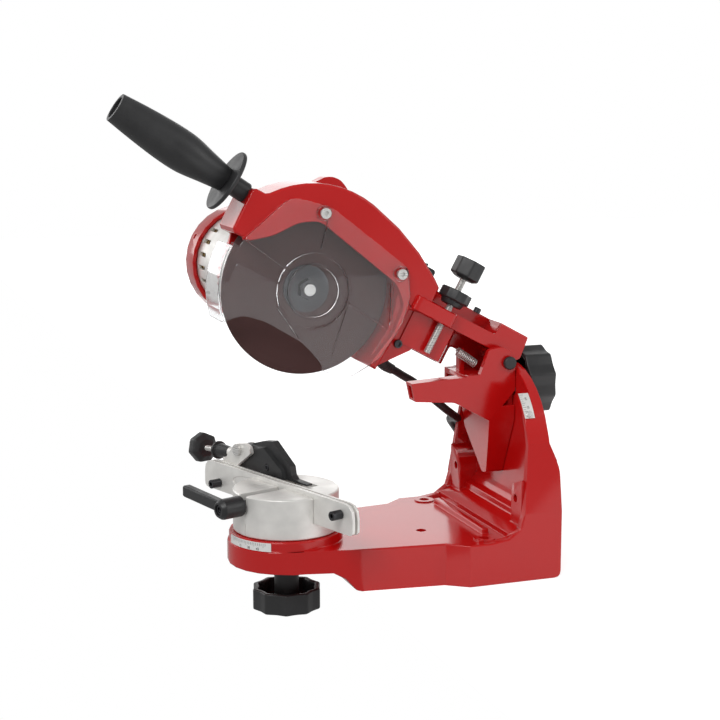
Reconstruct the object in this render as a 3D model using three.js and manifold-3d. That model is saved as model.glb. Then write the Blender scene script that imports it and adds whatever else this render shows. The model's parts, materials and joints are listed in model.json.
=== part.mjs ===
// Electric chainsaw sharpener: a bench base with a turning chain vice, a column that carries a
// tilting bracket, and a swinging head with the motor, the grinding wheel, its guard and a handle.
// Millimetres, +Z up, +X from the vice towards the column, +Y away from the user.
// The origin lies under the middle of the foot, on the plane of the bench.
import * as THREE from 'three';
import { mergeVertices } from 'three/addons/utils/BufferGeometryUtils.js';
import Module from 'manifold-3d';

const wasm = await Module();
wasm.setup();

// General clearances and finish of round shapes
const fit = 0.3;
const turning_play = 0.4;
const overrun = 3;
const fine_sides = 28;
const round_sides = 24;
const middle_sides = 16;
const small_sides = 12;
const arc_step = 10;

// Foot, boss and column of the base, with distances in X from the axis of the vice
const foot_centre = 133;
const foot_front = 46.7;
const base_back = 219;
const base_half_width = 83;
const deck_height = 36;
const deck_wall = 5;
const side_wall = 8;
const foot_rib = 6;
const boss_radius = 50;
const boss_ring_radius = 48.5;
const boss_bottom = 16.4;
const boss_step = 35.5;
const boss_top = 43.6;
const boss_wall = 8;
const bench_hole_radius = 4.5;
const bench_hole_x = 154;
const bench_hole_y = 67;
const middle_hole_x = 114;
const middle_hole_y = -24;
const hole_pad_radius = 9;
const hole_pad_height = 1;
const hole_tab = 9;
const column_front = 184;
const shoulder_low = 94;
const shoulder_high = 116;
const taper_start = 58;
const base_corner = 6;
const ramp_start = 173;
const ramp_rise = 12;
const step_x = 158;
const step_length = 6;
const step_height = 5;
const step_width = 108;
const ledge_x = 190;
const ledge_height = 5.5;
const gusset_length = 32;
const gusset_height = 22;
const back_strip = 8;
const pocket_corner = 3;
const wide_pocket_corner = 6;

// Arched tray at the top of the column and the tilt axis that it is drawn about
const tilt_height = 100;
const tray_radius = 75.9;
const tray_wall = 4.5;
const tray_front = 190;
const tray_back = 210;
const web_front = 201;
const web_thickness = 5;
const web_foot = 64;
const notch_angle = 42.5;
const ear_y = 63.4;
const ear_z = 67.8;
const ear_width = 22;
const ear_height = 12;
const ear_hole_radius = 3.6;
const lock_radius = 56.6;
const lock_bolt_radius = 4;
const tilt_back = 10;
const tilt_forward = 20;

// Scales
const vise_scale_height = 7.2;
const scale_thickness = 0.5;
const vise_scale_start = -177;
const vise_scale_end = -122;
const tilt_scale_width = 9;
const tilt_scale_start = 43.2;
const tilt_scale_end = 61;
const scale_screw_angle = 58.5;
const scale_screw_radius = 1.4;
const scale_screw_head = 2.9;
const scale_screw_depth = 3;
const scale_screw_rise = 1.2;

// Bolt and hand knob under the boss
const lock_bolt_shank = 5;
const lock_bolt_seat = 9;
const lock_bolt_bottom = -14;
const base_knob_radius = 29.8;
const base_knob_bottom = -26.1;
const base_knob_top = -8;
const base_knob_hub = 10.5;
const knob_wall = 4;
const knob_floor = 5;
const knob_edge = 1.2;
const lobe_depth_share = 0.075;
const big_knob_lobes = 10;

// Turntable and the chain vice, turned about Z as photographed
const vise_turn = -71.1;
const turntable_radius = 45.1;
const turntable_top = 78.7;
const turntable_edge = 1;
const rail_slot_floor = 56.7;
const window_left = -32;
const window_step = -3;
const window_right = 14;
const window_near = 5.5;
const window_far = 24;
const window_depth = 3;
const window_well = 12;
const index_line = 0.8;
const index_height = 11;
const index_angle = -85.3;
const rail_left = -117;
const rail_right = 96;
const rail_top = 82.5;
const rail_corner = 18;
const rail_low_corner = 5;
const front_rail_face = -4.5;
const front_rail_thickness = 3;
const rear_rail_face = 0.8;
const rear_rail_thickness = 2.2;
const lens_left = -73;
const lens_right = -13;
const lens_bottom = 64;
const lens_top = 78;
const lens_depth = 0.8;
const guide_spots = [[-93, 64.5], [81, 73]];
const guide_head_radius = 4;
const guide_head_length = 9.5;
const guide_shank_radius = 2.4;
const guide_nut_radius = 4.4;
const guide_nut_length = 3.2;
const socket_depth = 3;
const clamp_height = 70;
const clamp_hub_radius = 8.7;
const clamp_hub_start = 46;
const clamp_hub_end = 69;
const clamp_shaft_radius = 4.3;
const lever_length = 62;
const lever_width = 8;
const lever_height = 10;
const lever_distance = 60;
const lever_rise = 3;

// Chain stop behind the rear rail
const stop_plate = 4;
const stop_pin_u = -75;
const stop_pin_z = 96.5;
const stop_pin_radius = 3;
const pawl_width = 10;
const pawl_front_width = 4;
const pawl_socket_radius = 3.2;
const pawl_socket_u = -38.2;
const pawl_socket_z = 86.5;
const stop_screw_u = -105.3;
const stop_screw_z = 88.2;
const stop_screw_slope = 4.7;
const stop_rod_radius = 2.5;
const stop_rod_start = -37;
const stop_rod_end = 13;
const stop_sleeve_radius = 4.8;
const stop_sleeve_start = 5;
const stop_sleeve_end = 12;
const stop_nut_play = 0.8;
const stop_nut_radius = 8.3;
const stop_nut_length = 20;
const stop_nut_flange = 2.5;
const stop_nut_body = 6.8;
const stop_knob_radius = 13.8;
const stop_knob_length = 11;
const small_knob_lobes = 7;

// Tilting bracket
const bracket_back = 200.7;
const bracket_half_width = 25;
const bracket_plate = 5;
const bracket_low = 128;
const cheek_back_low = 152.7;
const cheek_foot_x = 185.4;
const cheek_foot_z = 136.2;
const leg_front = 176;
const arm_tip = 103.8;
const arm_tip_top = 164.8;
const arm_tip_bottom = 149;
const arm_root_top = 168.4;
const arm_inner_y = -12;
const arm_wall = 3;
const root_front = 155;
const clip_lug_front = 136;
const clip_lug_top = 156;
const leg_back = 34;
const leg_low = 74;
const leg_slope = 9;
const floor_thickness = 4;
const waist_x = 144;
const waist_z = 145.8;
const pivot_bolt_radius = 5;
const pivot_bore_end = 188;
const pivot_head_radius = 9;
const pivot_head_length = 5;
const tilt_knob_radius = 30.7;
const tilt_knob_front = 213;
const tilt_knob_face = 238.1;
const tilt_knob_hub = 12;
const spring_post_x = 159.5;
const spring_post_width = 5;
const spring_post_top = 188;
const spring_post_y = 2;
const spring_post_depth = 8;

// Swing pin and the head's own frame, turned about the pin as photographed
const pin_x = 194.1;
const pin_z = 177.7;
const pin_radius = 4;
const pin_boss = 6.6;
const pin_cap_radius = 5.8;
const pin_cap_length = 4;
const head_turn = 28.4;
const head_arm_half = 15;
const arm_hub_radius = 6.6;

// Head casting: places from the pin along the arm and square to it
const spindle_x = -188.2;
const spindle_z = -22.6;
const hood_radius = 88;
const hood_front = -20;
const hood_back = 24;
const hood_lip = 4;
const back_wall = 6;
const wheel_room = 78;
const hood_edge = 1.5;
const nose_x = -272;
const nose_top = 30;
const nose_bottom = -10;
const nose_inner = -253;
const arm_front = -104;
const arm_low = 3.5;
const arm_side_top = 16.4;
const arm_ridge = 28;
const arm_end = 12.9;
const groove_half = 11;
const groove_top = 8;
const groove_front = -90;
const groove_back = -11;
const trough_floor = 12;
const trough_back = -17;
const trough_half = 12;
const skirt_front = -95;
const skirt_back = -54;
const skirt_far_back = -40;
const skirt_low = -27;
const skirt_near = -11.6;
const skirt_wall = 3.2;
const skirt_shallow = -9;
const skirt_shallow_back = -15;
const heel_x = -80.7;
const heel_z = -27.9;
const heel_face = -10;
const toe_x = -106;
const toe_z = -57;

// Depth stop
const depth_x = -70;
const depth_y = -17;
const depth_rod_radius = 3.15;
const depth_rod_bottom = -24.5;
const depth_knob_bottom = 45;
const depth_knob_top = 62.5;
const depth_knob_radius = 13.5;
const depth_nut_radius = 14;
const depth_nut_top = 34;
const depth_nut_height = 13.5;
const lug_front = -103;
const lug_back = -62;
const lug_near = -25;
const lug_corner = 9;
const depth_nut_play = 0.8;
const lug_bottom = 2.5;
const lug_top = 15.5;

// Wheel, spindle, gears and motor
const wheel_radius = 72.5;
const wheel_thickness = 3.2;
const wheel_bore = 11.1;
const flange_radius = 20;
const flange_thickness = 4.5;
const spindle_radius = 5;
const spindle_nose = -14;
const spindle_end = 53.5;
const nut_radius = 9;
const nut_thickness = 6;
const motor_offset = 24.3;
const bearing_radius = 11;
const bearing_width = 7;
const bearing_boss = 15;
const front_bearing_y = 14.5;
const rear_bearing_y = 46.5;
const gear_teeth = 34;
const pinion_teeth = 14;
const tooth_module = 1.0125;
const gear_start = 30;
const gear_width = 10;
const backlash = 0.35;
const housing_radius = 45;
const housing_wall = 3.5;
const housing_start = 24.3;
const partition_start = 44;
const partition_end = 56;
const housing_end = 100;
const gear_room = 20.2;
const pinion_way = 9;
const vent_count = 24;
const vent_width = 3.6;
const vent_start = 74;
const vent_length = 22;
const stator_start = 60;
const stator_end = 80;
const stator_bore = 24.5;
const rotor_radius = 23.8;
const shaft_radius = 4;
const commutator_radius = 11;
const commutator_start = 86;
const commutator_end = 100;
const brush_width = 6;
const brush_reach = 36;
const cap_radius = 49.4;
const cap_start = 97.5;
const cap_end = 130;
const cap_wall = 3;
const cap_ledge = 4;
const cap_bush_radius = 9;
const cap_bush_start = 112;
const cap_hole_radius = 2.6;
const cap_hole_y = 112;
const switch_x = -93;
const switch_z = 30.5;
const switch_width = 30;
const switch_depth = 24;
const switch_height = 27;
const rocker_length = 18;
const rocker_width = 12;
const rocker_rise = 3;
const rocker_draft = 1;

// Clear guard on the front of the head
const guard_face = -24;
const guard_thickness = 2;
const guard_band_back = 16;
const guard_band_radius = 78.6;
const guard_rib = 2;
const guard_rib_rise = 2.5;
const guard_ring_outer = 32;
const guard_ring_inner = 23;
const guard_boss_radius = 6.5;
const guard_screw_spots_shares = [[-0.295, 0.839], [0.862, 0.64]];
const guard_screw_radius = 4.5;
const guard_screw_length = 3;

// Front handle
const handle_y = -5;
const handle_z = 23.5;
const handle_lift = 5.2;
const handle_length = 125;
const grip_radius = 16.4;
const collar_length = 20;
const collar_radius = 8.5;
const collar_gap = 1.1;
const hand_guard_radius = 26.5;
const hand_guard_thickness = 3.5;
const stud_radius = 4;
const stud_depth = 14;
const end_nut_radius = 6.5;
const end_nut_length = 5;
const end_recess = 16;
const end_opening = 9;

// Mains lead, its clips, the coil of what is left over, and the plug
const lead_radius = 3.6;
const lead_sides = 8;
const relief_radius = 6;
const relief_length = 26;
const clip_width = 8;
const clip_wall = 2;
const coil_radius = 41;
const coil_x = 296;
const coil_y = 188;
const coil_turns = 2.5;
const coil_turns_out = 2.125;
const coil_gap = 0.9;
const coil_steps = 20;
const coil_sides = 6;
const plug_half_width = 17.5;
const plug_half_height = 13;
const plug_length = 34;
const plug_neck = 5.5;
const plug_edge = 3;
const coil_tail = 60;
const plug_pin_radius = 2.4;
const plug_pin_length = 19;
const plug_pin_spread = 19;
const plug_pin_bridge = 8;

// Return spring between the post on the bracket and the hook under the arm
const spring_radius = 3.4;
const spring_wire = 0.55;
const spring_turns = 12;
const spring_turn_steps = 7;
const spring_gap = 0.3;
const spring_length = 21;
const spring_slope = 35;
const spring_start_x = 155.5;
const spring_start_z = 186.3;

// Places on the lead, chosen by hand
const bracket_clip_place = [141, 31.4, 144.2];
const bracket_clip_way = [15, 1.1, -13.2];
const bracket_clip_tab = 11;
const column_clip_place = [200, 89.4, 88];
const column_clip_way = [3, 0, -5];
const column_clip_tab = 9;
const relief_route = [[90.2, 17, 183.6], [92.2, 17.3, 178.6], [97.2, 19.6, 173.6], [104.6, 23.3, 169.4]];
const lead_upper_route = [[105, 23.4, 169.2], [110, 25.4, 166.4], [117, 28, 162], [127, 29.9, 156]];
const lead_lower_route = [[161, 33.4, 127.4], [175, 42, 117.5], [181.5, 58, 113.5], [183.6, 70, 111], [186, 82.8, 107]];
const mains_route = [
  [211.2, 90.5, 68.8], [218.9, 94.1, 54.6], [226.6, 100.7, 39.9], [233.7, 110.7, 26.2],
  [239.5, 124.7, 14.7], [243.4, 143, 6.8],
];

// Outlines as shares of the sizes that carry them
const deck_side_shares = [[0, 0.6], [0.213, 0.729], [0.539, 0.831], [0.616, 1], [0.96, 1]];
const underside_shares = [[-0.6, 1], [0.5, 1], [0.72, 0.65], [0.9, 0.07], [1, 0]];
const guard_outline_shares = [
  [-1.004, 0.152], [-0.767, 0.742], [-0.684, 0.834], [-0.423, 0.9], [-0.22, 0.93], [0.91, 0.74],
  [1.025, 0.556], [1.092, 0.459], [1.142, 0.186], [1.142, 0.004], [1.087, -0.357], [0.869, -0.677],
  [0.532, -0.768], [0.462, -0.687], [0.157, -0.574], [-0.349, -0.549], [-0.6, -0.594],
  [-0.746, -0.688], [-0.912, -0.57], [-1.019, -0.374],
];
const guard_rib_shares = [
  [[-0.97, 0.17], [-0.42, 0.09]], [[-0.95, -0.13], [-0.42, -0.1]], [[-0.22, 0.78], [-0.14, 0.46]],
  [[0.8, 0.5], [1.02, 0.06]], [[0.44, 0.06], [1.1, 0.01]], [[-0.3, -0.34], [0.1, -0.54]],
];
const tail_shares = [[0.33, 0.33], [0.62, 0.54], [0.87, 0.61], [1, 0.61]];
const grip_shares = [
  [0, 0.62], [0.05, 0.67], [0.17, 0.8], [0.36, 1], [0.56, 1], [0.8, 0.88], [1, 0.74],
];

// Outlines in millimetres, where a third value rounds the corner
const stop_plate_corners = [
  [-113, 75], [-87, 75.5], [-57, 96, 1], [-58, 102, 2], [-66, 104, 2], [-81.5, 101, 3], [-97, 83.5], [-113, 79],
];
const pawl_corners = [
  [-88, 80], [-84, 96, 4], [-77, 101.8, 3], [-67, 100.5], [-64.5, 103.2, 1], [-48.5, 108.1, 1],
  [-34.6, 110.2, 1], [-9.4, 92.7, 1], [-7.8, 85.5, 1], [-4, 82], [14, 81.4, 1], [14, 80],
];
const pawl_front_corners = [
  [-88, 80], [-84, 96, 4], [-77, 101.8, 3], [-67, 100.5], [-63, 102.6, 1], [-43.3, 103.5, 1],
  [-16.9, 88, 1], [-14.5, 80],
];
const cheek_top_corners = [[167.3, 168.4], [175.3, 189.7, 1.5], [186.7, 191.9, 3], [196.2, 188.6, 5]];
const rim_boss_corners = [
  [-217.5, 60], [-211.5, 68, 2], [-205, 71.5, 3], [-197, 72, 3], [-188, 67.3, 2], [-184, 60],
];
const mouth_corners = [
  [-254, -9], [-238.7, 2.9, 6], [-224.7, 21.7, 6], [-209, 31, 6], [-124, 15, 6], [-109, 2, 6], [-107, -24, 4],
  [-116, -62], [-116, -140], [-300, -140], [-300, -30],
];
const hood_underside_corners = [
  [-256, -14], [-130, -14], [-113, -26], [-113, -56], [-116, -140], [-300, -140], [-300, -14],
];
const hood_bend = [-127, 55.8];
const hood_foot = [-94, 34];
const hood_arm_x = -87;
const hood_start_angle = 142;
const hood_arc = 62;
const hood_low_inset = 22;
const hood_low_start = -30;
const hood_low_arc = 132;
const hood_steps = 9;
const nose_corner = 3;

const degrees = Math.PI / 180;

// Small maker functions

// One closed mesh with shared corners and its faces pointing out
function closed(geometry) {
  const bare = new THREE.BufferGeometry();
  bare.setAttribute('position', geometry.attributes.position.clone());
  if (geometry.index) bare.setIndex(geometry.index.clone());
  const welded = mergeVertices(bare);
  const corner = welded.index.array;
  const kept = [];
  let volume = 0;
  const [a, b, c] = [new THREE.Vector3(), new THREE.Vector3(), new THREE.Vector3()];
  for (let first = 0; first < corner.length; first += 3) {
    const [i, j, k] = [corner[first], corner[first + 1], corner[first + 2]];
    if (i === j || j === k || k === i) continue;
    kept.push(i, j, k);
    a.fromBufferAttribute(welded.attributes.position, i);
    b.fromBufferAttribute(welded.attributes.position, j);
    c.fromBufferAttribute(welded.attributes.position, k);
    volume += a.dot(b.cross(c));
  }
  if (volume < 0) kept.reverse();
  welded.setIndex(kept);
  return welded;
}

function solidOf(geometry) {
  const mesh = closed(geometry);
  return new wasm.Manifold(new wasm.Mesh({
    numProp: 3,
    vertProperties: mesh.attributes.position.array,
    triVerts: new Uint32Array(mesh.index.array),
  }));
}

function geometryOf(solid) {
  const mesh = solid.getMesh();
  const geometry = new THREE.BufferGeometry();
  geometry.setAttribute('position', new THREE.BufferAttribute(mesh.vertProperties, 3));
  geometry.setIndex(new THREE.BufferAttribute(mesh.triVerts, 1));
  return geometry;
}

function join(...geometries) {
  return geometryOf(geometries.map(solidOf).reduce((all, next) => all.add(next)));
}

function cut(geometry, ...tools) {
  return geometryOf(tools.map(solidOf).reduce((left, tool) => left.subtract(tool), solidOf(geometry)));
}

function keep(geometry, region) {
  return geometryOf(solidOf(geometry).intersect(solidOf(region)));
}

// A closed outline through its corners, where a third value rounds a corner
function outline(corners) {
  const shape = new THREE.Shape();
  const most = 0.45;
  corners.forEach(([x, y, radius = 0], index) => {
    const before = corners[(index + corners.length - 1) % corners.length];
    const after = corners[(index + 1) % corners.length];
    const back = new THREE.Vector2(before[0] - x, before[1] - y);
    const ahead = new THREE.Vector2(after[0] - x, after[1] - y);
    const reach = Math.min(radius, most * back.length(), most * ahead.length());
    back.setLength(reach);
    ahead.setLength(reach);
    if (index === 0) shape.moveTo(x + back.x, y + back.y);
    else shape.lineTo(x + back.x, y + back.y);
    if (reach > 0) shape.quadraticCurveTo(x, y, x + ahead.x, y + ahead.y);
  });
  shape.closePath();
  return shape;
}

// Turns a shape drawn flat so that it is extruded along the given axis
function along(geometry, axis) {
  const position = geometry.attributes.position;
  for (let index = 0; index < position.count; index += 1) {
    const [u, v, w] = [position.getX(index), position.getY(index), position.getZ(index)];
    if (axis === 'x') position.setXYZ(index, w, u, v);
    if (axis === 'y') position.setXYZ(index, u, w, v);
  }
  return geometry;
}

function prism(shape, axis, from, to, edge = 0, steps = 3) {
  const geometry = new THREE.ExtrudeGeometry(shape, {
    depth: to - from - 2 * edge,
    bevelEnabled: edge > 0,
    bevelThickness: edge,
    bevelSize: edge,
    bevelOffset: -edge,
    bevelSegments: 1,
    curveSegments: steps,
  });
  geometry.translate(0, 0, from + edge);
  return along(geometry, axis);
}

function block(x0, x1, y0, y1, z0, z1) {
  const geometry = new THREE.BoxGeometry(x1 - x0, y1 - y0, z1 - z0);
  return geometry.translate((x0 + x1) / 2, (y0 + y1) / 2, (z0 + z1) / 2);
}

// A solid of revolution through pairs of radius and distance along the axis
function turned(profile, axis, sides = round_sides) {
  const points = profile.map(([radius, distance]) => new THREE.Vector2(radius, distance));
  const on_axis = profile[0][0] === 0 && profile[profile.length - 1][0] === 0;
  if (!on_axis) points.push(points[0].clone());
  const geometry = new THREE.LatheGeometry(points, sides);
  if (axis === 'z') geometry.rotateX(Math.PI / 2);
  if (axis === 'x') geometry.rotateZ(-Math.PI / 2);
  return geometry;
}

function disc(radius, axis, from, to, sides = round_sides) {
  return turned([[0, from], [radius, from], [radius, to], [0, to]], axis, sides);
}

function ring(outer, inner, axis, from, to, sides = round_sides) {
  return turned([[inner, from], [outer, from], [outer, to], [inner, to]], axis, sides);
}

function moved(geometry, x, y, z) {
  return geometry.translate(x, y, z);
}

// A stretch of a ring between two angles, in degrees
function sector(outer, inner, start, end, axis, from, to) {
  const shape = new THREE.Shape();
  shape.absarc(0, 0, outer, start * degrees, end * degrees, false);
  shape.absarc(0, 0, inner, end * degrees, start * degrees, true);
  shape.closePath();
  const steps = Math.ceil((end - start) / arc_step);
  return prism(shape, axis, from, to, 0, Math.max(2, Math.round(steps / 2)));
}

// A hand knob's outline: shallow hollows between narrow ridges
function lobes(radius, count) {
  const points_per_lobe = 3;
  const points = [];
  for (let step = 0; step < count * points_per_lobe; step += 1) {
    const place = 2 * (step % points_per_lobe) / points_per_lobe - 1;
    const reach = radius * (1 - lobe_depth_share * (1 - place * place));
    const angle = 2 * Math.PI * step / (count * points_per_lobe);
    points.push([reach * Math.cos(angle), reach * Math.sin(angle)]);
  }
  return outline(points);
}

function hexagon(radius) {
  const corners = [0, 1, 2, 3, 4, 5].map((side) => side * Math.PI / 3);
  return outline(corners.map((angle) => [radius * Math.cos(angle), radius * Math.sin(angle)]));
}

// A spur gear's outline with sloping tooth sides
function toothed(teeth, slack) {
  const pitch_radius = tooth_module * teeth / 2;
  const tip = pitch_radius + 0.9 * tooth_module - slack;
  const root = pitch_radius - 1.2 * tooth_module;
  const width_shares = [[-0.38, root], [-0.14, tip], [0.14, tip], [0.38, root]];
  const points = [];
  for (let tooth = 0; tooth < teeth; tooth += 1) {
    for (const [share, radius] of width_shares) {
      const angle = 2 * Math.PI * (tooth + share * (1 - slack / 2)) / teeth;
      points.push([radius * Math.cos(angle), radius * Math.sin(angle)]);
    }
  }
  return outline(points);
}

// A tube swept along a smooth line through the points
function tube(points, radius, sides, steps) {
  const curve = new THREE.CatmullRomCurve3(points.map((point) => new THREE.Vector3(...point)), false, 'centripetal');
  const section = new THREE.Shape();
  for (let side = 0; side < sides; side += 1) {
    const angle = 2 * Math.PI * side / sides;
    const corner = [radius * Math.cos(angle), radius * Math.sin(angle)];
    if (side === 0) section.moveTo(...corner);
    else section.lineTo(...corner);
  }
  section.closePath();
  return new THREE.ExtrudeGeometry(section, { steps, extrudePath: curve, bevelEnabled: false });
}

const paints = {
  red_paint: { color: 0xb81c22, roughness: 0.25, metalness: 0.1 },
  black_plastic: { color: 0x2a2a2b, roughness: 0.5, metalness: 0 },
  silver: { color: 0xc8c6c3, roughness: 0.35, metalness: 0.9 },
  steel: { color: 0xa8a8a6, roughness: 0.3, metalness: 1 },
  dark_steel: { color: 0x38383a, roughness: 0.4, metalness: 0.8 },
  white: { color: 0xf0f0ee, roughness: 0.5, metalness: 0 },
  abrasive: { color: 0x4b3232, roughness: 0.95, metalness: 0 },
  clear: { color: 0xe8ecee, roughness: 0.05, metalness: 0, transparent: true, opacity: 0.3 },
  copper: { color: 0xb06a3a, roughness: 0.35, metalness: 1 },
  brass: { color: 0xb89a4a, roughness: 0.35, metalness: 1 },
};

// A named sub-part with a finish of its own
function piece(name, finish, geometry) {
  const mesh = new THREE.Mesh(closed(geometry), new THREE.MeshStandardMaterial(paints[finish]));
  mesh.name = name;
  return mesh;
}

function group(...children) {
  const holder = new THREE.Group();
  holder.add(...children);
  return holder;
}

// Base

function deckSolid() {
  const near = deck_side_shares.map(([x, y]) => [x * base_back, -y * base_half_width]);
  const far = near.map(([x, y]) => [x, -y]).reverse();
  const deck = prism(outline([...near, ...far]), 'z', 0, deck_height);
  const under = underside_shares.map(([x, z]) => [x * foot_front, z * boss_bottom]);
  const low = [[foot_front, -overrun], [-boss_radius - overrun, -overrun]];
  const left = [[-boss_radius - overrun, boss_bottom]];
  const hollow = prism(outline([...under, ...low, ...left].slice(1)), 'y', -base_half_width, base_half_width);
  return cut(join(deck, disc(boss_radius, 'z', boss_bottom, boss_step)), hollow);
}

function footPocket(from, to, outer_from, outer_to, side) {
  const inner = foot_rib / 2;
  const corners = [
    [from, side * inner, pocket_corner], [to, side * inner, pocket_corner],
    [to, side * outer_to, wide_pocket_corner], [from, side * outer_from, wide_pocket_corner],
  ];
  return prism(outline(corners), 'z', -overrun, deck_height - deck_wall);
}

function columnSolid() {
  const half = base_half_width;
  const room = half - side_wall;
  const rim = Math.sqrt(tray_radius ** 2 - (shoulder_high - tilt_height) ** 2);
  const inner_rim = rim - tray_wall;
  const outer = outline([
    [-half, 0], [half, 0], [half, taper_start], [rim, shoulder_high], [-rim, shoulder_high], [-half, taper_start],
  ]);
  const profile = outline([
    [column_front, 0], [base_back, 0, base_corner], [base_back, shoulder_low, base_corner],
    [tray_back, shoulder_high], [tray_front, shoulder_high], [column_front, taper_start],
  ]);
  const inside = (low) => outline([
    [-room, low], [room, low], [room, taper_start], [inner_rim, shoulder_high + fit],
    [-inner_rim, shoulder_high + fit], [-room, taper_start],
  ]);
  const body = keep(prism(outer, 'x', column_front, base_back), prism(profile, 'y', -half - overrun, half + overrun));
  return cut(
    body,
    prism(inside(deck_height - deck_wall), 'x', column_front - overrun, web_front),
    prism(inside(back_strip), 'x', web_front + web_thickness, base_back + overrun),
  );
}

// The tray's arch about the tilt axis, with straight sides down to the given height
function archShape(radius, foot) {
  const shape = new THREE.Shape();
  shape.moveTo(-radius, foot);
  shape.lineTo(radius, foot);
  shape.lineTo(radius, tilt_height);
  const steps = 18;
  for (let step = 1; step <= steps; step += 1) {
    const angle = Math.PI * step / steps;
    shape.lineTo(radius * Math.cos(angle), tilt_height + radius * Math.sin(angle));
  }
  shape.closePath();
  return shape;
}

function traySolid() {
  const inner = tray_radius - tray_wall;
  return cut(
    prism(archShape(tray_radius, shoulder_low), 'x', tray_front, tray_back),
    prism(archShape(inner, shoulder_low - overrun), 'x', tray_front - overrun, web_front),
    prism(archShape(inner, shoulder_low - overrun), 'x', web_front + web_thickness, tray_back + overrun),
  );
}

function rampSolid() {
  const room = base_half_width - side_wall + fit;
  const top = deck_height + ramp_rise;
  const profile = outline([
    [ramp_start, deck_height - deck_wall], [ramp_start, deck_height + step_height], [ledge_x, top],
    [ledge_x, top + ledge_height, 1], [ledge_x + step_length, top + ledge_height + 2, 1],
    [web_front + fit, web_foot], [web_front + fit, deck_height - deck_wall],
  ]);
  return prism(profile, 'y', -room, room);
}

function earSolid(side) {
  const inner = side * (ear_y - ear_width / 2 + 2);
  const outer = side * (base_half_width - side_wall + fit);
  const corners = [
    [inner, deck_height], [outer, deck_height], [outer, ear_z + ear_height + 6], [inner + side * 3, ear_z + ear_height, 4], [inner, ear_z, 4],
  ];
  return prism(outline(corners), 'x', column_front, web_front + fit);
}

function gussetSolid(side) {
  const shape = new THREE.Shape();
  shape.moveTo(column_front - gusset_length, deck_height - fit);
  shape.quadraticCurveTo(column_front, deck_height, column_front, deck_height + gusset_height);
  shape.lineTo(column_front + fit, deck_height + gusset_height);
  shape.lineTo(column_front + fit, deck_height - fit);
  shape.closePath();
  const inner = base_half_width - side_wall;
  const [from, to] = side > 0 ? [inner, base_half_width] : [-base_half_width, -inner];
  return prism(shape, 'y', from, to);
}

function earHole(side) {
  const from = column_front - overrun;
  return moved(disc(ear_hole_radius, 'x', from, base_back + overrun, small_sides), 0, side * ear_y, ear_z);
}

function earBoss(side) {
  return moved(disc(ear_height, 'x', web_front, base_back, small_sides), 0, side * ear_y, ear_z);
}

function lockSlot(extra) {
  const reach = lock_bolt_radius + extra;
  const slack = extra / lock_radius / degrees;
  const start = 90 - tilt_back - slack;
  const end = 90 + tilt_forward + slack;
  const band = sector(lock_radius + reach, lock_radius - reach, start, end, 'x', web_front - overrun, tray_back + overrun);
  const ends = [start, end].map((angle) => moved(
    disc(reach, 'x', web_front - overrun, tray_back + overrun, small_sides),
    0, lock_radius * Math.cos(angle * degrees), lock_radius * Math.sin(angle * degrees),
  ));
  return moved(join(band, ...ends), 0, 0, tilt_height);
}

function scaleScrewShape(radius, from, to) {
  const shank = disc(radius, 'z', from, to, small_sides);
  shank.rotateX(scale_screw_angle * degrees);
  return moved(shank, tray_front + fit + tilt_scale_width / 2, 0, tilt_height);
}

function baseCasting() {
  const pockets = [1, -1].flatMap((side) => [
    footPocket(foot_front + deck_wall, foot_centre - foot_rib / 2, 0.66 * base_half_width, 0.76 * base_half_width, side),
    footPocket(foot_centre + foot_rib / 2, column_front + side_wall, 0.88 * base_half_width, base_half_width - side_wall, side),
  ]);
  const pads = [1, -1].map((side) => moved(
    disc(hole_pad_radius, 'z', deck_height - deck_wall, deck_height + hole_pad_height, small_sides),
    bench_hole_x, side * bench_hole_y, 0,
  ));
  const holes = [[bench_hole_x, bench_hole_y], [bench_hole_x, -bench_hole_y], [middle_hole_x, middle_hole_y]];
  const drilled = holes.map(([x, y]) => moved(
    disc(bench_hole_radius, 'z', -overrun, deck_height + overrun, small_sides), x, y, 0,
  ));
  const step = block(
    step_x, step_x + step_length, -step_width / 2, step_width / 2, deck_height - deck_wall, deck_height + step_height,
  );
  const tab = block(
    bench_hole_x - hole_tab, bench_hole_x - hole_tab / 2, -bench_hole_y - hole_tab, -bench_hole_y - hole_tab / 2,
    deck_height - deck_wall, deck_height + step_height / 2,
  );
  const shell = cut(join(deckSolid(), columnSolid()), ...pockets);
  const body = join(
    shell, traySolid(), rampSolid(), step, tab, ...pads,
    disc(boss_ring_radius, 'z', boss_step - fit, boss_top),
    earSolid(1), earSolid(-1), earBoss(1), earBoss(-1), gussetSolid(1), gussetSolid(-1),
  );
  const under_boss = ring(
    boss_ring_radius - boss_wall, lock_bolt_shank + boss_wall, 'z', boss_bottom - overrun, deck_height - deck_wall,
  );
  const notch = moved(
    sector(tray_radius + overrun, tray_radius - tray_wall - fit, 90 - notch_angle, 90 + notch_angle, 'x', tray_front - overrun, web_front),
    0, 0, tilt_height,
  );
  return cut(
    body, ...drilled, under_boss, notch, lockSlot(1), earHole(1), earHole(-1),
    disc(lock_bolt_shank + turning_play, 'z', -overrun, boss_top + overrun, small_sides),
    moved(disc(pivot_bolt_radius + fit, 'x', web_front - overrun, tray_back, small_sides), 0, 0, tilt_height),
    scaleScrewShape(scale_screw_radius + fit, tray_radius - tray_wall - overrun, tray_radius + overrun),
  );
}

function viseScale() {
  const inner = boss_ring_radius + fit;
  const low = boss_step + fit;
  return sector(inner + scale_thickness, inner, vise_scale_start, vise_scale_end, 'z', low, low + vise_scale_height);
}

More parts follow.
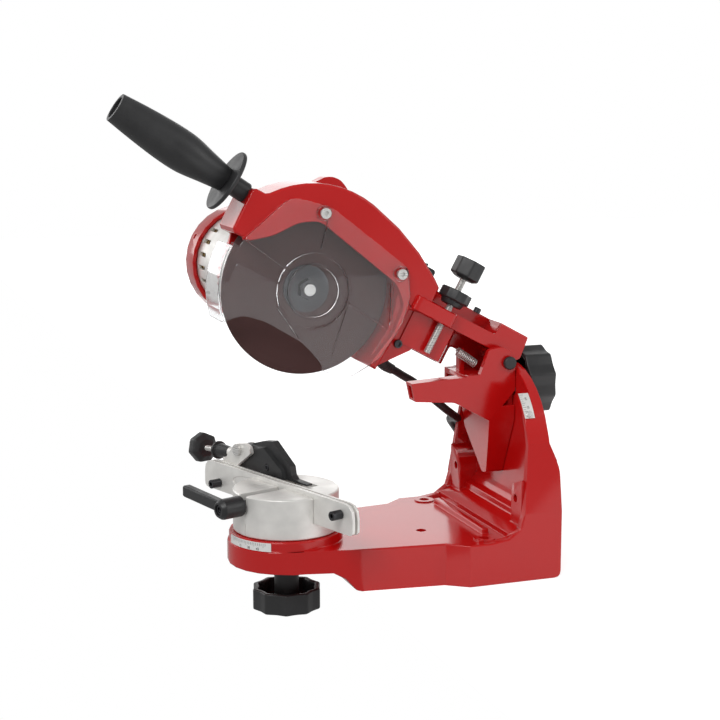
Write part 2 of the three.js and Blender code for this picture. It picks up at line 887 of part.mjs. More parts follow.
function tiltScale() {
  const inner = tray_radius + fit;
  const from = tray_front + fit;
  const strip = sector(
    inner + scale_thickness, inner, 90 + tilt_scale_start, 90 + tilt_scale_end, 'x', from, from + tilt_scale_width,
  );
  const hole = scaleScrewShape(scale_screw_radius + fit, tray_radius - overrun, tray_radius + overrun);
  return cut(moved(strip, 0, 0, tilt_height), hole);
}

function tiltScaleScrew() {
  const seat = tray_radius + 2 * fit + scale_thickness;
  return join(
    scaleScrewShape(scale_screw_radius, tray_radius - scale_screw_depth, seat + fit),
    scaleScrewShape(scale_screw_head, seat, seat + scale_screw_rise),
  );
}

// Lock of the turntable

function baseLockBolt() {
  return disc(lock_bolt_shank, 'z', lock_bolt_bottom, boss_top + lock_bolt_seat, small_sides);
}

function baseLockKnob() {
  const cup = cut(
    prism(lobes(base_knob_radius, big_knob_lobes), 'z', base_knob_bottom, base_knob_top, knob_edge),
    disc(base_knob_radius * (1 - lobe_depth_share) - knob_wall, 'z', base_knob_bottom + knob_floor, base_knob_top + overrun),
  );
  const hub = disc(base_knob_hub, 'z', base_knob_bottom + knob_floor - fit, boss_bottom - fit, small_sides);
  const bore = disc(lock_bolt_shank + fit, 'z', lock_bolt_bottom - fit, boss_bottom + overrun, small_sides);
  return cut(join(cup, hub), bore);
}

// Turntable and vice, drawn with X along the rails

function turntable() {
  const low = boss_top + fit;
  const edge = turntable_edge;
  const body = turned([
    [0, low], [turntable_radius - edge, low], [turntable_radius, low + edge],
    [turntable_radius, turntable_top - edge], [turntable_radius - edge, turntable_top], [0, turntable_top],
  ], 'z', fine_sides);
  const slot = block(
    -turntable_radius - overrun, turntable_radius + overrun, front_rail_face - fit,
    rear_rail_face + rear_rail_thickness + fit, rail_slot_floor, turntable_top + overrun,
  );
  const groove = block(
    -clamp_shaft_radius - fit, clamp_shaft_radius + fit, -turntable_radius - overrun, front_rail_face,
    clamp_height - clamp_shaft_radius - fit, turntable_top + overrun,
  );
  const bolt = disc(lock_bolt_shank + fit, 'z', low - overrun, boss_top + lock_bolt_seat + fit, small_sides);
  const mark = block(turntable_radius - index_line, turntable_radius + overrun, -index_line / 2, index_line / 2, low + edge, low + index_height);
  mark.rotateZ(index_angle * degrees);
  const top = turntable_top;
  const ledge = block(window_left, window_right, window_near, window_far, top - window_depth, top + overrun);
  const well = block(window_left, window_step, window_near, window_far, top - window_well, top + overrun);
  return cut(body, slot, groove, bolt, mark, ledge, well);
}

function railShape() {
  return outline([
    [rail_left, rail_slot_floor + fit, rail_low_corner], [rail_right, rail_slot_floor + fit, rail_low_corner],
    [rail_right, rail_top, rail_corner], [rail_left, rail_top, rail_corner],
  ]);
}

function guideBores(radius, from, to) {
  return guide_spots.map(([u, z]) => moved(disc(radius, 'y', from, to, small_sides), u, 0, z));
}

function railFront() {
  const back = front_rail_face + front_rail_thickness;
  const lens = disc(1, 'y', front_rail_face - overrun, front_rail_face + lens_depth);
  lens.scale((lens_right - lens_left) / 2, 1, (lens_top - lens_bottom) / 2);
  moved(lens, (lens_left + lens_right) / 2, 0, (lens_bottom + lens_top) / 2);
  const bores = guideBores(guide_shank_radius + turning_play, front_rail_face - overrun, back + overrun);
  return cut(prism(railShape(), 'y', front_rail_face, back), lens, ...bores);
}

function railRear() {
  const back = rear_rail_face + rear_rail_thickness;
  const bores = guideBores(guide_shank_radius + turning_play, rear_rail_face - overrun, back + overrun);
  return cut(prism(railShape(), 'y', rear_rail_face, back), ...bores);
}

function guideScrew([u, z]) {
  const seat = front_rail_face - fit;
  const back = rear_rail_face + rear_rail_thickness + fit;
  const face = seat - guide_head_length;
  const head = cut(
    disc(guide_head_radius, 'y', face, seat, small_sides),
    prism(hexagon(guide_head_radius / 2), 'y', face - overrun, face + socket_depth),
  );
  const shank = disc(guide_shank_radius, 'y', seat - fit, back + guide_nut_length, small_sides);
  const nut = prism(hexagon(guide_nut_radius), 'y', back, back + guide_nut_length);
  return moved(join(head, shank, nut), u, 0, z);
}

function clampLever() {
  const hub = turned([
    [0, -clamp_hub_end], [clamp_hub_radius - 2 * knob_edge, -clamp_hub_end], [clamp_hub_radius, 3 * knob_edge - clamp_hub_end],
    [clamp_hub_radius, -clamp_hub_start - knob_edge], [clamp_hub_radius - knob_edge, -clamp_hub_start], [0, -clamp_hub_start],
  ], 'y', middle_sides);
  const bar = outline([
    [0, -lever_height / 2], [0, lever_height / 2], [-lever_length, lever_rise + lever_height / 2, 2],
    [-lever_length, lever_rise - lever_height / 2, 2],
  ]);
  const near = -lever_distance - lever_width / 2;
  const body = join(hub, prism(bar, 'y', near, near + lever_width, knob_edge));
  const bore = disc(clamp_shaft_radius + fit, 'y', -clamp_hub_end - overrun, overrun - clamp_hub_start, small_sides);
  return moved(cut(body, bore), 0, 0, clamp_height);
}

function clampScrew() {
  const shaft = disc(clamp_shaft_radius, 'y', knob_edge - clamp_hub_end, front_rail_face - fit, small_sides);
  const socket = prism(hexagon(clamp_shaft_radius / 1.6), 'y', -clamp_hub_end - overrun, socket_depth - clamp_hub_end);
  return moved(cut(shaft, socket), 0, 0, clamp_height);
}

// Chain stop

const stop_back = rear_rail_face + rear_rail_thickness + fit;
const pawl_face = stop_back + stop_plate + fit;
const stop_axis_y = pawl_face + pawl_width / 2;

function stopSleeve(radius, from, to) {
  const sleeve = disc(radius, 'x', from, to, small_sides);
  sleeve.rotateY(-stop_screw_slope * degrees);
  return moved(sleeve, stop_screw_u, stop_axis_y, stop_screw_z);
}

function stopBracket() {
  const plate = prism(outline(stop_plate_corners), 'y', stop_back, stop_back + stop_plate);
  const low = stop_screw_z - 2 * stop_sleeve_radius + 1;
  const arm = block(
    stop_screw_u + stop_sleeve_start + 1, stop_screw_u + stop_sleeve_end - 1, stop_back, stop_axis_y,
    low, stop_screw_z - stop_sleeve_radius / 2,
  );
  return cut(
    join(plate, arm, stopSleeve(stop_sleeve_radius, stop_sleeve_start, stop_sleeve_end)),
    stopSleeve(stop_rod_radius + turning_play, stop_sleeve_start - overrun, stop_sleeve_end + overrun),
    moved(disc(stop_pin_radius + fit, 'y', 0, stop_axis_y, small_sides), stop_pin_u, 0, stop_pin_z),
  );
}

function stopPawl() {
  const [front, back] = [pawl_face, pawl_face + pawl_width];
  const step = front + pawl_front_width;
  const body = join(
    prism(outline(pawl_front_corners), 'y', front, step + fit),
    prism(outline(pawl_corners), 'y', step, back),
  );
  const socket = disc(pawl_socket_radius, 'y', front - overrun, front + 1, small_sides);
  const bore = disc(stop_pin_radius + turning_play, 'y', front - overrun, back + overrun, small_sides);
  return cut(body, moved(socket, pawl_socket_u, 0, pawl_socket_z), moved(bore, stop_pin_u, 0, stop_pin_z));
}

function stopPivotPin() {
  const back = pawl_face + pawl_width + fit;
  const shank = disc(stop_pin_radius, 'y', stop_back - 2, back + 2, small_sides);
  const near = disc(stop_pin_radius + 2, 'y', stop_back - 3, stop_back - fit, small_sides);
  const far = disc(stop_pin_radius + 2, 'y', back, back + 2, small_sides);
  return moved(join(shank, near, far), stop_pin_u, 0, stop_pin_z);
}

function stopRod() {
  return disc(stop_rod_radius, 'x', stop_rod_start, stop_rod_end, small_sides);
}

function stopKnob() {
  const from = stop_rod_start - stop_knob_length + socket_depth;
  const body = prism(lobes(stop_knob_radius, small_knob_lobes), 'x', from, from + stop_knob_length, knob_edge);
  return cut(body, disc(stop_rod_radius + fit, 'x', stop_rod_start - fit, overrun, small_sides));
}

function stopLockNut() {
  const end = stop_sleeve_start - fit;
  const start = end - stop_nut_length;
  const hole = stop_rod_radius + stop_nut_play;
  return turned([
    [hole, start], [stop_nut_radius, start], [stop_nut_radius, start + stop_nut_flange],
    [stop_nut_body, start + stop_nut_flange], [stop_sleeve_radius, end], [hole, end],
  ], 'x', middle_sides);
}

// Tilting bracket, in the plane of the arm

function cheekOutline() {
  return outline([
    [root_front, arm_root_top], ...cheek_top_corners, [bracket_back, pin_z], [bracket_back, cheek_back_low],
    [cheek_foot_x, cheek_foot_z, 4], [leg_front, bracket_low], [root_front, waist_z - 2],
  ]);
}

function pinDisc(radius, from, to, sides = small_sides) {
  return moved(disc(radius, 'y', from, to, sides), pin_x, 0, pin_z);
}

function bracketCheek(side) {
  const outer = side * bracket_half_width;
  const inner = side * (bracket_half_width - bracket_plate);
  const face = side * (head_arm_half + turning_play);
  const [from, to] = [Math.min(outer, inner), Math.max(outer, inner)];
  const [boss_from, boss_to] = [Math.min(face, inner), Math.max(face, inner)];
  return join(
    prism(cheekOutline(), 'y', from, to),
    pinDisc(pin_boss, boss_from - (side < 0 ? fit : 0), boss_to + (side > 0 ? fit : 0), middle_sides),
  );
}

// The tapering leg down to the pivot, with a face that slopes back towards its foot
function legSolid() {
  const half = bracket_half_width;
  const top = bracket_low + 12;
  const shape = outline([
    [-half, top], [-half, bracket_low], [-2, leg_low + 2, 3], [8, leg_low, 3], [leg_back, tilt_height + 12, 3], [leg_back, top],
  ]);
  const front = outline([
    [leg_front + fit, top], [leg_front + fit, bracket_low], [leg_front + leg_slope, leg_low - fit],
    [bracket_back, leg_low - fit], [bracket_back, top],
  ]);
  return keep(prism(shape, 'x', leg_front, bracket_back), prism(front, 'y', -half - overrun, leg_back + overrun));
}

function stopArmSolid() {
  const near = -bracket_half_width;
  const side = outline([
    [arm_tip, arm_tip_top, 1], [leg_front, arm_root_top], [leg_front, bracket_low], [waist_x, waist_z, 4],
    [arm_tip + 3.4, arm_tip_bottom, 1],
  ]);
  const inside = outline([
    [arm_tip - overrun, arm_tip_top - arm_wall], [leg_front - arm_wall, arm_root_top - arm_wall],
    [leg_front - arm_wall, waist_z + arm_wall], [waist_x, waist_z + arm_wall], [arm_tip - overrun, arm_tip_bottom + arm_wall],
  ]);
  return cut(
    prism(side, 'y', near, arm_inner_y),
    prism(inside, 'y', near + arm_wall, arm_inner_y - arm_wall),
  );
}

// A low lug on the far cheek for the clip of the lead
function clipLug() {
  const shape = outline([
    [clip_lug_front, waist_z], [root_front + overrun, waist_z], [root_front + overrun, clip_lug_top],
    [clip_lug_front, clip_lug_top, 2],
  ]);
  return prism(shape, 'y', bracket_half_width - bracket_plate, bracket_half_width);
}

function springPost() {
  const back = spring_post_x + spring_post_width;
  return block(
    spring_post_x, back, spring_post_y, spring_post_y + spring_post_depth,
    arm_root_top - bracket_plate, spring_post_top,
  );
}

function tiltBracket() {
  const wide = bracket_half_width + overrun;
  const inner = bracket_half_width - bracket_plate + fit;
  const floor = outline([
    [root_front, waist_z - floor_thickness], [root_front, waist_z], [leg_front, bracket_low + floor_thickness],
    [leg_front, bracket_low],
  ]);
  const deck = block(root_front, leg_front, -inner, inner, arm_root_top - bracket_plate, arm_root_top - fit);
  const back = block(
    bracket_back - bracket_plate, bracket_back, -inner, inner, bracket_low, arm_root_top - 2 * bracket_plate,
  );
  return cut(
    join(
      bracketCheek(-1), bracketCheek(1), clipLug(), stopArmSolid(), legSolid(),
      prism(floor, 'y', -inner, inner), deck, springPost(), back,
    ),
    pinDisc(pin_radius + turning_play, -wide, wide),
    moved(disc(pivot_bolt_radius + turning_play, 'x', pivot_bore_end, bracket_back + overrun, small_sides), 0, 0, tilt_height),
    moved(disc(lock_bolt_radius + fit, 'x', leg_front, bracket_back + overrun, small_sides), 0, 0, tilt_height + lock_radius),
  );
}

function tiltPivotBolt() {
  const back = web_front + web_thickness + fit;
  return moved(join(
    disc(pivot_bolt_radius, 'x', pivot_bore_end + fit, back + fit, small_sides),
    prism(hexagon(pivot_head_radius), 'x', back, back + pivot_head_length),
  ), 0, 0, tilt_height);
}

function tiltLockBolt() {
  const front = bracket_back - bracket_plate - fit;
  return moved(join(
    disc(lock_bolt_radius, 'x', front - fit, tilt_knob_front + 12, small_sides),
    disc(lock_bolt_radius * 2, 'x', front - 3, front, small_sides),
  ), 0, 0, tilt_height + lock_radius);
}

function tiltLockKnob() {
  const cup = cut(
    prism(lobes(tilt_knob_radius, big_knob_lobes), 'x', tilt_knob_front, tilt_knob_face, knob_edge),
    disc(tilt_knob_radius * (1 - lobe_depth_share) - knob_wall, 'x', tilt_knob_front - overrun, tilt_knob_face - knob_floor),
  );
  const hub = disc(tilt_knob_hub, 'x', web_front + web_thickness + fit, tilt_knob_face - knob_floor + fit, small_sides);
  const bore = disc(lock_bolt_radius + fit, 'x', web_front, tilt_knob_front + 12 + fit, small_sides);
  return moved(cut(join(cup, hub), bore), 0, 0, tilt_height + lock_radius);
}

function swingPin() {
  const seat = bracket_half_width + fit;
  return join(
    pinDisc(pin_radius, -seat, seat + fit),
    pinDisc(pin_cap_radius, seat, seat + pin_cap_length, middle_sides),
  );
}

function pinCap() {
  const seat = -bracket_half_width - 2 * fit;
  const face = seat - pin_cap_length;
  const profile = [[0, face], [pin_cap_radius - 1, face], [pin_cap_radius, face + 1], [pin_cap_radius, seat], [0, seat]];
  return moved(turned(profile, 'y', middle_sides), pin_x, 0, pin_z);
}

// Return spring between the post on the bracket and the hook under the arm

function returnSpring() {
  const y = spring_post_y - spring_gap - spring_radius - spring_wire;
  const start = new THREE.Vector3(spring_start_x, y, spring_start_z);
  const slope = spring_slope * degrees;
  const axis = new THREE.Vector3(Math.cos(slope), 0, -Math.sin(slope)).multiplyScalar(spring_length);
  const [across, side] = [new THREE.Vector3(0, 1, 0), new THREE.Vector3()];
  side.crossVectors(axis, across).normalize();
  const points = [];
  const steps = spring_turns * spring_turn_steps;
  for (let step = 0; step <= steps; step += 1) {
    const angle = 2 * Math.PI * step / spring_turn_steps;
    const point = start.clone().addScaledVector(axis, step / steps);
    point.addScaledVector(across, spring_radius * Math.cos(angle));
    point.addScaledVector(side, spring_radius * Math.sin(angle));
    points.push(point.toArray());
  }
  const pitch = spring_length / spring_turns;
  console.log('return spring, least gap between coils, mm:', (pitch - 2 * spring_wire).toFixed(2));
  return tube(points, spring_wire, 5, steps);
}

// Head casting, in the head's own frame

function hoodShape() {
  const shape = new THREE.Shape();
  const [cx, cz] = [spindle_x, spindle_z];
  const corner = nose_corner;
  const arc_start = hood_start_angle * degrees;
  shape.moveTo(cx - wheel_radius, nose_bottom);
  shape.lineTo(nose_x + corner, nose_bottom);
  shape.lineTo(nose_x, nose_bottom + corner);
  shape.lineTo(nose_x, nose_top - corner);
  shape.lineTo(nose_x + corner, nose_top);
  shape.lineTo(cx + hood_radius * Math.cos(arc_start) - corner, nose_top);
  for (let step = 0; step <= hood_steps; step += 1) {
    const angle = (hood_start_angle - hood_arc * step / hood_steps) * degrees;
    shape.lineTo(cx + hood_radius * Math.cos(angle), cz + hood_radius * Math.sin(angle));
  }
  shape.quadraticCurveTo(...hood_bend, ...hood_foot);
  shape.lineTo(hood_arm_x, arm_ridge + 1);
  shape.lineTo(hood_arm_x, arm_low);
  shape.lineTo(arm_front + 1, arm_low - corner);
  shape.lineTo(arm_front + 1, cz);
  shape.lineTo(toe_x, toe_z);
  const low = hood_radius - hood_low_inset;
  for (let step = 0; step <= hood_steps; step += 1) {
    const angle = (hood_low_start - hood_low_arc * step / hood_steps) * degrees;
    shape.lineTo(cx + low * Math.cos(angle), cz + low * Math.sin(angle));
  }
  shape.closePath();
  return shape;
}

// The arm back to the swing pin: a bar with a trough in its top, low on the near side
function armSolid() {
  const top = arm_ridge;
  const section = outline([
    [-head_arm_half, arm_low, 1], [-head_arm_half, top, 2], [head_arm_half, top, 3], [head_arm_half, arm_low, 1],
  ]);
  const profile = outline([
    [arm_front, arm_low], [-arm_hub_radius - 2, arm_low], [-5, -arm_hub_radius], [4, -5, 2], [6.3, 3],
    [arm_end - 2, arm_low + 2.5], [arm_end, arm_low + 5, 1], [arm_end - 2, top, 1], [arm_front, top],
  ]);
  const bar = keep(
    prism(section, 'x', arm_front, arm_end + overrun),
    prism(profile, 'y', -head_arm_half, head_arm_half),
  );
  const high = top + overrun;
  const trough = prism(outline([
    [hood_arm_x, trough_floor], [trough_back - 3, trough_floor, 2], [trough_back, high], [hood_arm_x, high],
  ]), 'y', -trough_half, trough_half);
  const shoulder = prism(outline([
    [hood_arm_x, arm_side_top], [trough_back - 2, arm_side_top, 2], [trough_back, high], [hood_arm_x, high],
  ]), 'y', -head_arm_half - overrun, -trough_half + fit);
  const hub = disc(arm_hub_radius, 'y', -head_arm_half, head_arm_half, middle_sides);
  return join(cut(bar, trough, shoulder), hub);
}

// The skirt under the arm: a near wall behind the depth rod, a far wall, and a slanting end
function skirtSolid() {
  const high = arm_low + 1;
  const wall = outline([[skirt_front, high], [skirt_back, high], [skirt_back, skirt_low, 2], [skirt_front, skirt_low]]);
  const far = outline([
    [skirt_front, high], [skirt_shallow_back, high], [skirt_shallow_back, skirt_shallow, 3],
    [skirt_far_back, skirt_shallow, 3], [skirt_far_back, skirt_low, 2], [skirt_front, skirt_low],
  ]);
  const near_y = skirt_near + skirt_wall;
  const far_y = head_arm_half - skirt_wall;
  const end = outline([
    [skirt_back - skirt_wall, skirt_near], [skirt_back, skirt_near], [skirt_far_back, head_arm_half],
    [skirt_far_back - skirt_wall, head_arm_half],
  ]);
  return join(
    prism(wall, 'y', skirt_near, near_y), prism(far, 'y', far_y, head_arm_half),
    prism(end, 'z', skirt_low, high),
  );
}

// The wide block at the arm's near side that the depth rod screws through
function lugSolid() {
  const plan = outline([
    [lug_front, 1 - head_arm_half], [lug_front, lug_near, lug_corner], [lug_back, lug_near, lug_corner / 2],
    [lug_back, 1 - head_arm_half],
  ]);
  return prism(plan, 'z', lug_bottom, lug_top, 1);
}

// The hood with its open mouth, and the heel below the arm
function hoodSolid() {
  const [cx, cz] = [spindle_x, spindle_z];
  const hood = prism(hoodShape(), 'y', hood_front, hood_back, hood_edge);
  const rim_boss = prism(outline(rim_boss_corners), 'y', hood_back / 2, hood_back);
  const motor_wall = moved(
    disc(housing_radius + 1, 'y', hood_back - back_wall, hood_back, fine_sides), cx - motor_offset, 0, cz,
  );
  const heel_front = arm_front - 2;
  const heel = prism(outline([
    [heel_front - 10, arm_low + 6], [hood_arm_x - 3, arm_low + 6], [hood_arm_x - 3, heel_z + 8], [heel_x, heel_z, 2],
    [toe_x, toe_z, 2], [heel_front - 10, toe_z + 7],
  ]), 'y', heel_face, hood_back);
  const wheel_space = moved(
    disc(wheel_room, 'y', hood_front + hood_lip, hood_back - back_wall, fine_sides), cx, 0, cz,
  );
  const front = hood_front - overrun;
  const open = prism(outline(hood_underside_corners), 'y', front, hood_back - back_wall);
  const mouth = prism(outline(mouth_corners), 'y', front, hood_front + hood_lip + overrun);
  return cut(join(hood, rim_boss, motor_wall, heel), wheel_space, open, mouth);
}

function headCasting() {
  const [cx, cz] = [spindle_x, spindle_z];
  const out = hood_back + overrun;
  const boss = moved(disc(bearing_boss, 'y', front_bearing_y - 1.5, hood_back, middle_sides), cx, 0, cz);
  const groove = prism(outline([
    [groove_front, skirt_low - overrun], [groove_back, skirt_low - overrun], [groove_back, groove_top, 2],
    [groove_front, groove_top, 2],
  ]), 'y', skirt_near + skirt_wall, head_arm_half - skirt_wall);
  const hollow_arm = cut(armSolid(), groove);
  const bearing_room = moved(disc(bearing_radius + fit, 'y', front_bearing_y - fit, out, middle_sides), cx, 0, cz);
  const shaft_way = moved(disc(spindle_radius + 1, 'y', 0, out, small_sides), cx, 0, cz);
  const stud_way = disc(stud_radius + fit, 'x', -overrun, stud_depth + fit, small_sides);
  stud_way.rotateY(handle_lift * degrees);
  moved(stud_way, nose_x, handle_y, handle_z);
  const pinion_room = moved(
    disc(pinion_way, 'y', hood_back - back_wall + 1, out, small_sides), cx - motor_offset, 0, cz,
  );
  const rod_way = disc(depth_rod_radius + turning_play, 'z', lug_bottom - overrun, lug_top + overrun, small_sides);
  return cut(
    join(hoodSolid(), boss, hollow_arm, skirtSolid(), lugSolid()),
    bearing_room, shaft_way, stud_way, pinion_room, moved(rod_way, depth_x, depth_y, 0),
    disc(pin_radius + turning_play, 'y', -head_arm_half - overrun, head_arm_half + overrun, small_sides),
    ...guardScrewWays(guard_screw_radius / 2 + fit, hood_front - overrun, hood_front + hood_lip + 8),
  );
}

// Clear guard

function guardSpots() {
  return guard_screw_spots_shares.map(([x, z]) => [spindle_x + x * wheel_radius, spindle_z + z * wheel_radius]);
}

function guardScrewWays(radius, from, to) {
  return guardSpots().map(([x, z]) => moved(disc(radius, 'y', from, to, small_sides), x, 0, z));
}

function guardRib([from, to]) {
  const start = new THREE.Vector2(from[0] * wheel_radius, from[1] * wheel_radius);
  const end = new THREE.Vector2(to[0] * wheel_radius, to[1] * wheel_radius);
  const across = end.clone().sub(start).normalize().multiplyScalar(guard_rib / 2);
  const corners = [
    [start.x - across.y, start.y + across.x], [end.x - across.y, end.y + across.x],
    [end.x + across.y, end.y - across.x], [start.x + across.y, start.y - across.x],
  ];
  return prism(outline(corners), 'y', guard_face - guard_rib_rise, guard_face + fit);
}

function clearGuard() {
  const back = guard_face + guard_thickness;
  const edge = guard_outline_shares.map(([x, z]) => [x * wheel_radius, z * wheel_radius, 4]);
  const plate = prism(outline(edge), 'y', guard_face, back);
  const band = sector(guard_band_radius + guard_thickness, guard_band_radius, 178, 224, 'y', guard_face, guard_band_back);
  const flat = sector(guard_band_radius + guard_thickness, wheel_radius * 0.7, 176, 224, 'y', guard_face, back);
  const rise = guard_face - guard_rib_rise;
  const rings = [
    ring(guard_ring_outer, guard_ring_outer - guard_rib, 'y', rise, guard_face + fit),
    ring(guard_ring_inner, guard_ring_inner - guard_rib, 'y', rise, guard_face + fit),
  ];
  const ribs = guard_rib_shares.map(guardRib);
  const shell = moved(join(plate, band, flat, ...rings, ...ribs), spindle_x, 0, spindle_z);
  const bosses = guardScrewWays(guard_boss_radius, guard_face, hood_front - fit);
  const ways = guardScrewWays(guard_screw_radius / 2 + fit, guard_face - overrun, hood_front + overrun);
  return cut(join(shell, ...bosses), ...ways);
}

function guardScrew([x, z]) {
  const seat = guard_face - fit;
  const head = disc(guard_screw_radius, 'y', seat - guard_screw_length, seat, small_sides);
  const socket = prism(hexagon(guard_screw_radius / 2), 'y', seat - guard_screw_length - overrun, seat - 1);
  const shank = disc(guard_screw_radius / 2, 'y', seat - fit, hood_front + hood_lip + 6, small_sides);
  return moved(cut(join(head, shank), socket), x, 0, z);
}

// Wheel and drive

const spindleAt = (geometry) => moved(geometry, spindle_x, 0, spindle_z);
const motorAt = (geometry) => moved(geometry, spindle_x - motor_offset, 0, spindle_z);

function grindingWheel() {
  const half = wheel_thickness / 2;
  return spindleAt(turned([
    [wheel_bore, -half], [wheel_radius - half, -half], [wheel_radius, -half / 3], [wheel_radius, half / 3],
    [wheel_radius - half, half], [wheel_bore, half],
  ], 'y', fine_sides));
}

function flangeNut() {
  const seat = -wheel_thickness / 2 - fit;
  const end = seat - flange_thickness;
  const plate = turned([
    [0, seat], [flange_radius, seat], [flange_radius, seat - 2], [flange_radius / 1.6, end], [0, end],
  ], 'y', middle_sides);
  const nut = prism(hexagon(nut_radius), 'y', end - nut_thickness, end + fit);
  const bore = disc(spindle_radius + fit, 'y', end - nut_thickness - overrun, seat + overrun, small_sides);
  return spindleAt(cut(join(plate, nut), bore));
}

function spindle() {
  const seat = wheel_thickness / 2 + fit;
  return spindleAt(turned([
    [0, spindle_nose], [spindle_radius, spindle_nose], [spindle_radius, fit - wheel_thickness / 2],
    [wheel_bore - fit, fit - wheel_thickness / 2], [wheel_bore - fit, seat], [flange_radius, seat],
    [flange_radius, seat + 2], [flange_radius / 1.6, seat + flange_thickness],
    [spindle_radius, seat + flange_thickness], [spindle_radius, spindle_end], [0, spindle_end],
  ], 'y', middle_sides));
}

function spindleGear() {
  const gear = prism(toothed(gear_teeth, backlash), 'y', gear_start, gear_start + gear_width);
  gear.rotateY(Math.PI / gear_teeth);
  return spindleAt(cut(gear, disc(spindle_radius + fit, 'y', gear_start - overrun, gear_start + gear_width + overrun, small_sides)));
}

function bearing(y, shaft, at) {
  return at(ring(bearing_radius, shaft + fit, 'y', y, y + bearing_width, middle_sides));
}

function rotor() {
  const pinion = prism(toothed(pinion_teeth, backlash), 'y', gear_start - 1, gear_start + gear_width + 1);
  return motorAt(join(
    pinion,
    disc(shaft_radius, 'y', gear_start - 3, cap_bush_start + bearing_width, small_sides),
    disc(rotor_radius, 'y', stator_start, stator_end, middle_sides),
    disc(commutator_radius, 'y', commutator_start, commutator_end, middle_sides),
  ));
}

function stator() {
  const body = ring(housing_radius - housing_wall - fit, stator_bore, 'y', stator_start, stator_end);
  return motorAt(body);
}

function brushGear() {
  const middle = (commutator_start + commutator_end) / 2;
  const [low, high] = [middle - brush_width / 2, middle + brush_width / 2];
  const holders = [-1, 1].map((side) => {
    const [from, to] = [side * (commutator_radius + fit), side * brush_reach].sort((a, b) => a - b);
    return block(-brush_width / 2, brush_width / 2, low, high, from, to);
  });
  const carrier = ring(housing_radius - housing_wall - fit, brush_reach - brush_width, 'y', low, high);
  return motorAt(join(carrier, ...holders));
}

function motorHousing() {
  const inner = housing_radius - housing_wall;
  const shell = disc(housing_radius, 'y', housing_start, housing_end, fine_sides);
  const bulge = disc(gear_room + housing_wall, 'y', housing_start, partition_end, middle_sides);
  const gears = join(
    motorAt(disc(12, 'y', housing_start - overrun, partition_start, middle_sides)),
    spindleAt(disc(gear_room, 'y', housing_start - overrun, partition_start, middle_sides)),
  );
  const pocket = rear_bearing_y + bearing_width + fit;
  const slots = [];
  for (let slot = 0; slot < vent_count; slot += 1) {
    const vent = block(inner - overrun, housing_radius + overrun, vent_start, vent_start + vent_length, -vent_width / 2, vent_width / 2);
    vent.rotateY(2 * Math.PI * slot / vent_count);
    slots.push(motorAt(vent));
  }
  return cut(
    join(motorAt(shell), spindleAt(bulge)), gears,
    motorAt(disc(inner, 'y', partition_end, housing_end + overrun, round_sides)),
    motorAt(disc(bearing_radius + fit, 'y', partition_start - overrun, pocket, middle_sides)),
    spindleAt(disc(bearing_radius + fit, 'y', partition_start - overrun, pocket, middle_sides)),
    motorAt(disc(shaft_radius + 1, 'y', partition_start, partition_end + overrun, small_sides)),
    ...slots,
  );
}

function motorCap() {
  const inner = cap_radius - cap_wall;
  const seat = housing_end + fit;
  const shell = turned([
    [inner, cap_start], [cap_radius, cap_start], [cap_radius, cap_end - 8], [cap_radius - 3, cap_end - 2],
    [cap_radius - 8, cap_end], [0, cap_end], [0, cap_end - cap_wall], [inner - 6, cap_end - cap_wall],
    [inner, cap_end - 9], [inner, seat + cap_ledge], [housing_radius - housing_wall, seat + cap_ledge],
    [housing_radius - housing_wall, seat], [inner, seat],
  ], 'y', fine_sides);
  const bush = ring(cap_bush_radius, shaft_radius + fit, 'y', cap_bush_start, cap_end - cap_wall + fit, middle_sides);
  const hole = moved(disc(cap_hole_radius, 'x', -cap_radius - overrun, -inner + overrun, 12), 0, cap_hole_y, 0);
  return motorAt(cut(join(shell, bush), hole));
}

function switchBox() {
  const [x0, x1] = [switch_x - switch_width / 2, switch_x + switch_width / 2];
  const y0 = hood_back + fit;
  const box = prism(outline([
    [x0, switch_z - switch_height / 2, 2], [x1, switch_z - switch_height / 2, 2], [x1, switch_z + switch_height / 2, 3],
    [x0, switch_z + switch_height / 2, 3],
  ]), 'y', y0, y0 + switch_depth);
  const top = switch_z + switch_height / 2;
  const middle = y0 + switch_depth / 2;
  const well = block(
    switch_x - rocker_length / 2 - turning_play, switch_x + rocker_length / 2 + turning_play,
    middle - rocker_width / 2 - turning_play, middle + rocker_width / 2 + turning_play, top - 10, top + overrun,
  );
  return cut(box, well);
}

function switchRocker() {
  const top = switch_z + switch_height / 2;
  const middle = hood_back + fit + switch_depth / 2;
  const half = rocker_length / 2;
  const side = outline([
    [switch_x - half, top - 3], [switch_x - 3, top - 7], [switch_x + 3, top - 7], [switch_x + half, top - 3],
    [switch_x + half - rocker_draft, top + rocker_rise], [switch_x, top], [switch_x - half, top + 0.4],
  ]);
  return prism(side, 'y', middle - rocker_width / 2, middle + rocker_width / 2);
}

// Depth stop

function depthRod() {
  return moved(disc(depth_rod_radius, 'z', depth_rod_bottom, depth_knob_bottom + 8, small_sides), depth_x, depth_y, 0);
}

function depthKnob() {
  const body = prism(lobes(depth_knob_radius, small_knob_lobes), 'z', depth_knob_bottom, depth_knob_top, knob_edge);
  const bore = disc(depth_rod_radius + fit, 'z', depth_knob_bottom - overrun, depth_knob_bottom + 8 + fit, small_sides);
  return moved(cut(body, bore), depth_x, depth_y, 0);
}

function depthLockNut() {
  const low = depth_nut_top - depth_nut_height;
  const body = prism(lobes(depth_nut_radius, big_knob_lobes), 'z', low, depth_nut_top, knob_edge);
  const bore = disc(depth_rod_radius + depth_nut_play, 'z', low - overrun, depth_nut_top + overrun, small_sides);
  return moved(cut(body, bore), depth_x, depth_y, 0);
}

// Front handle, drawn along minus X from the casting's nose

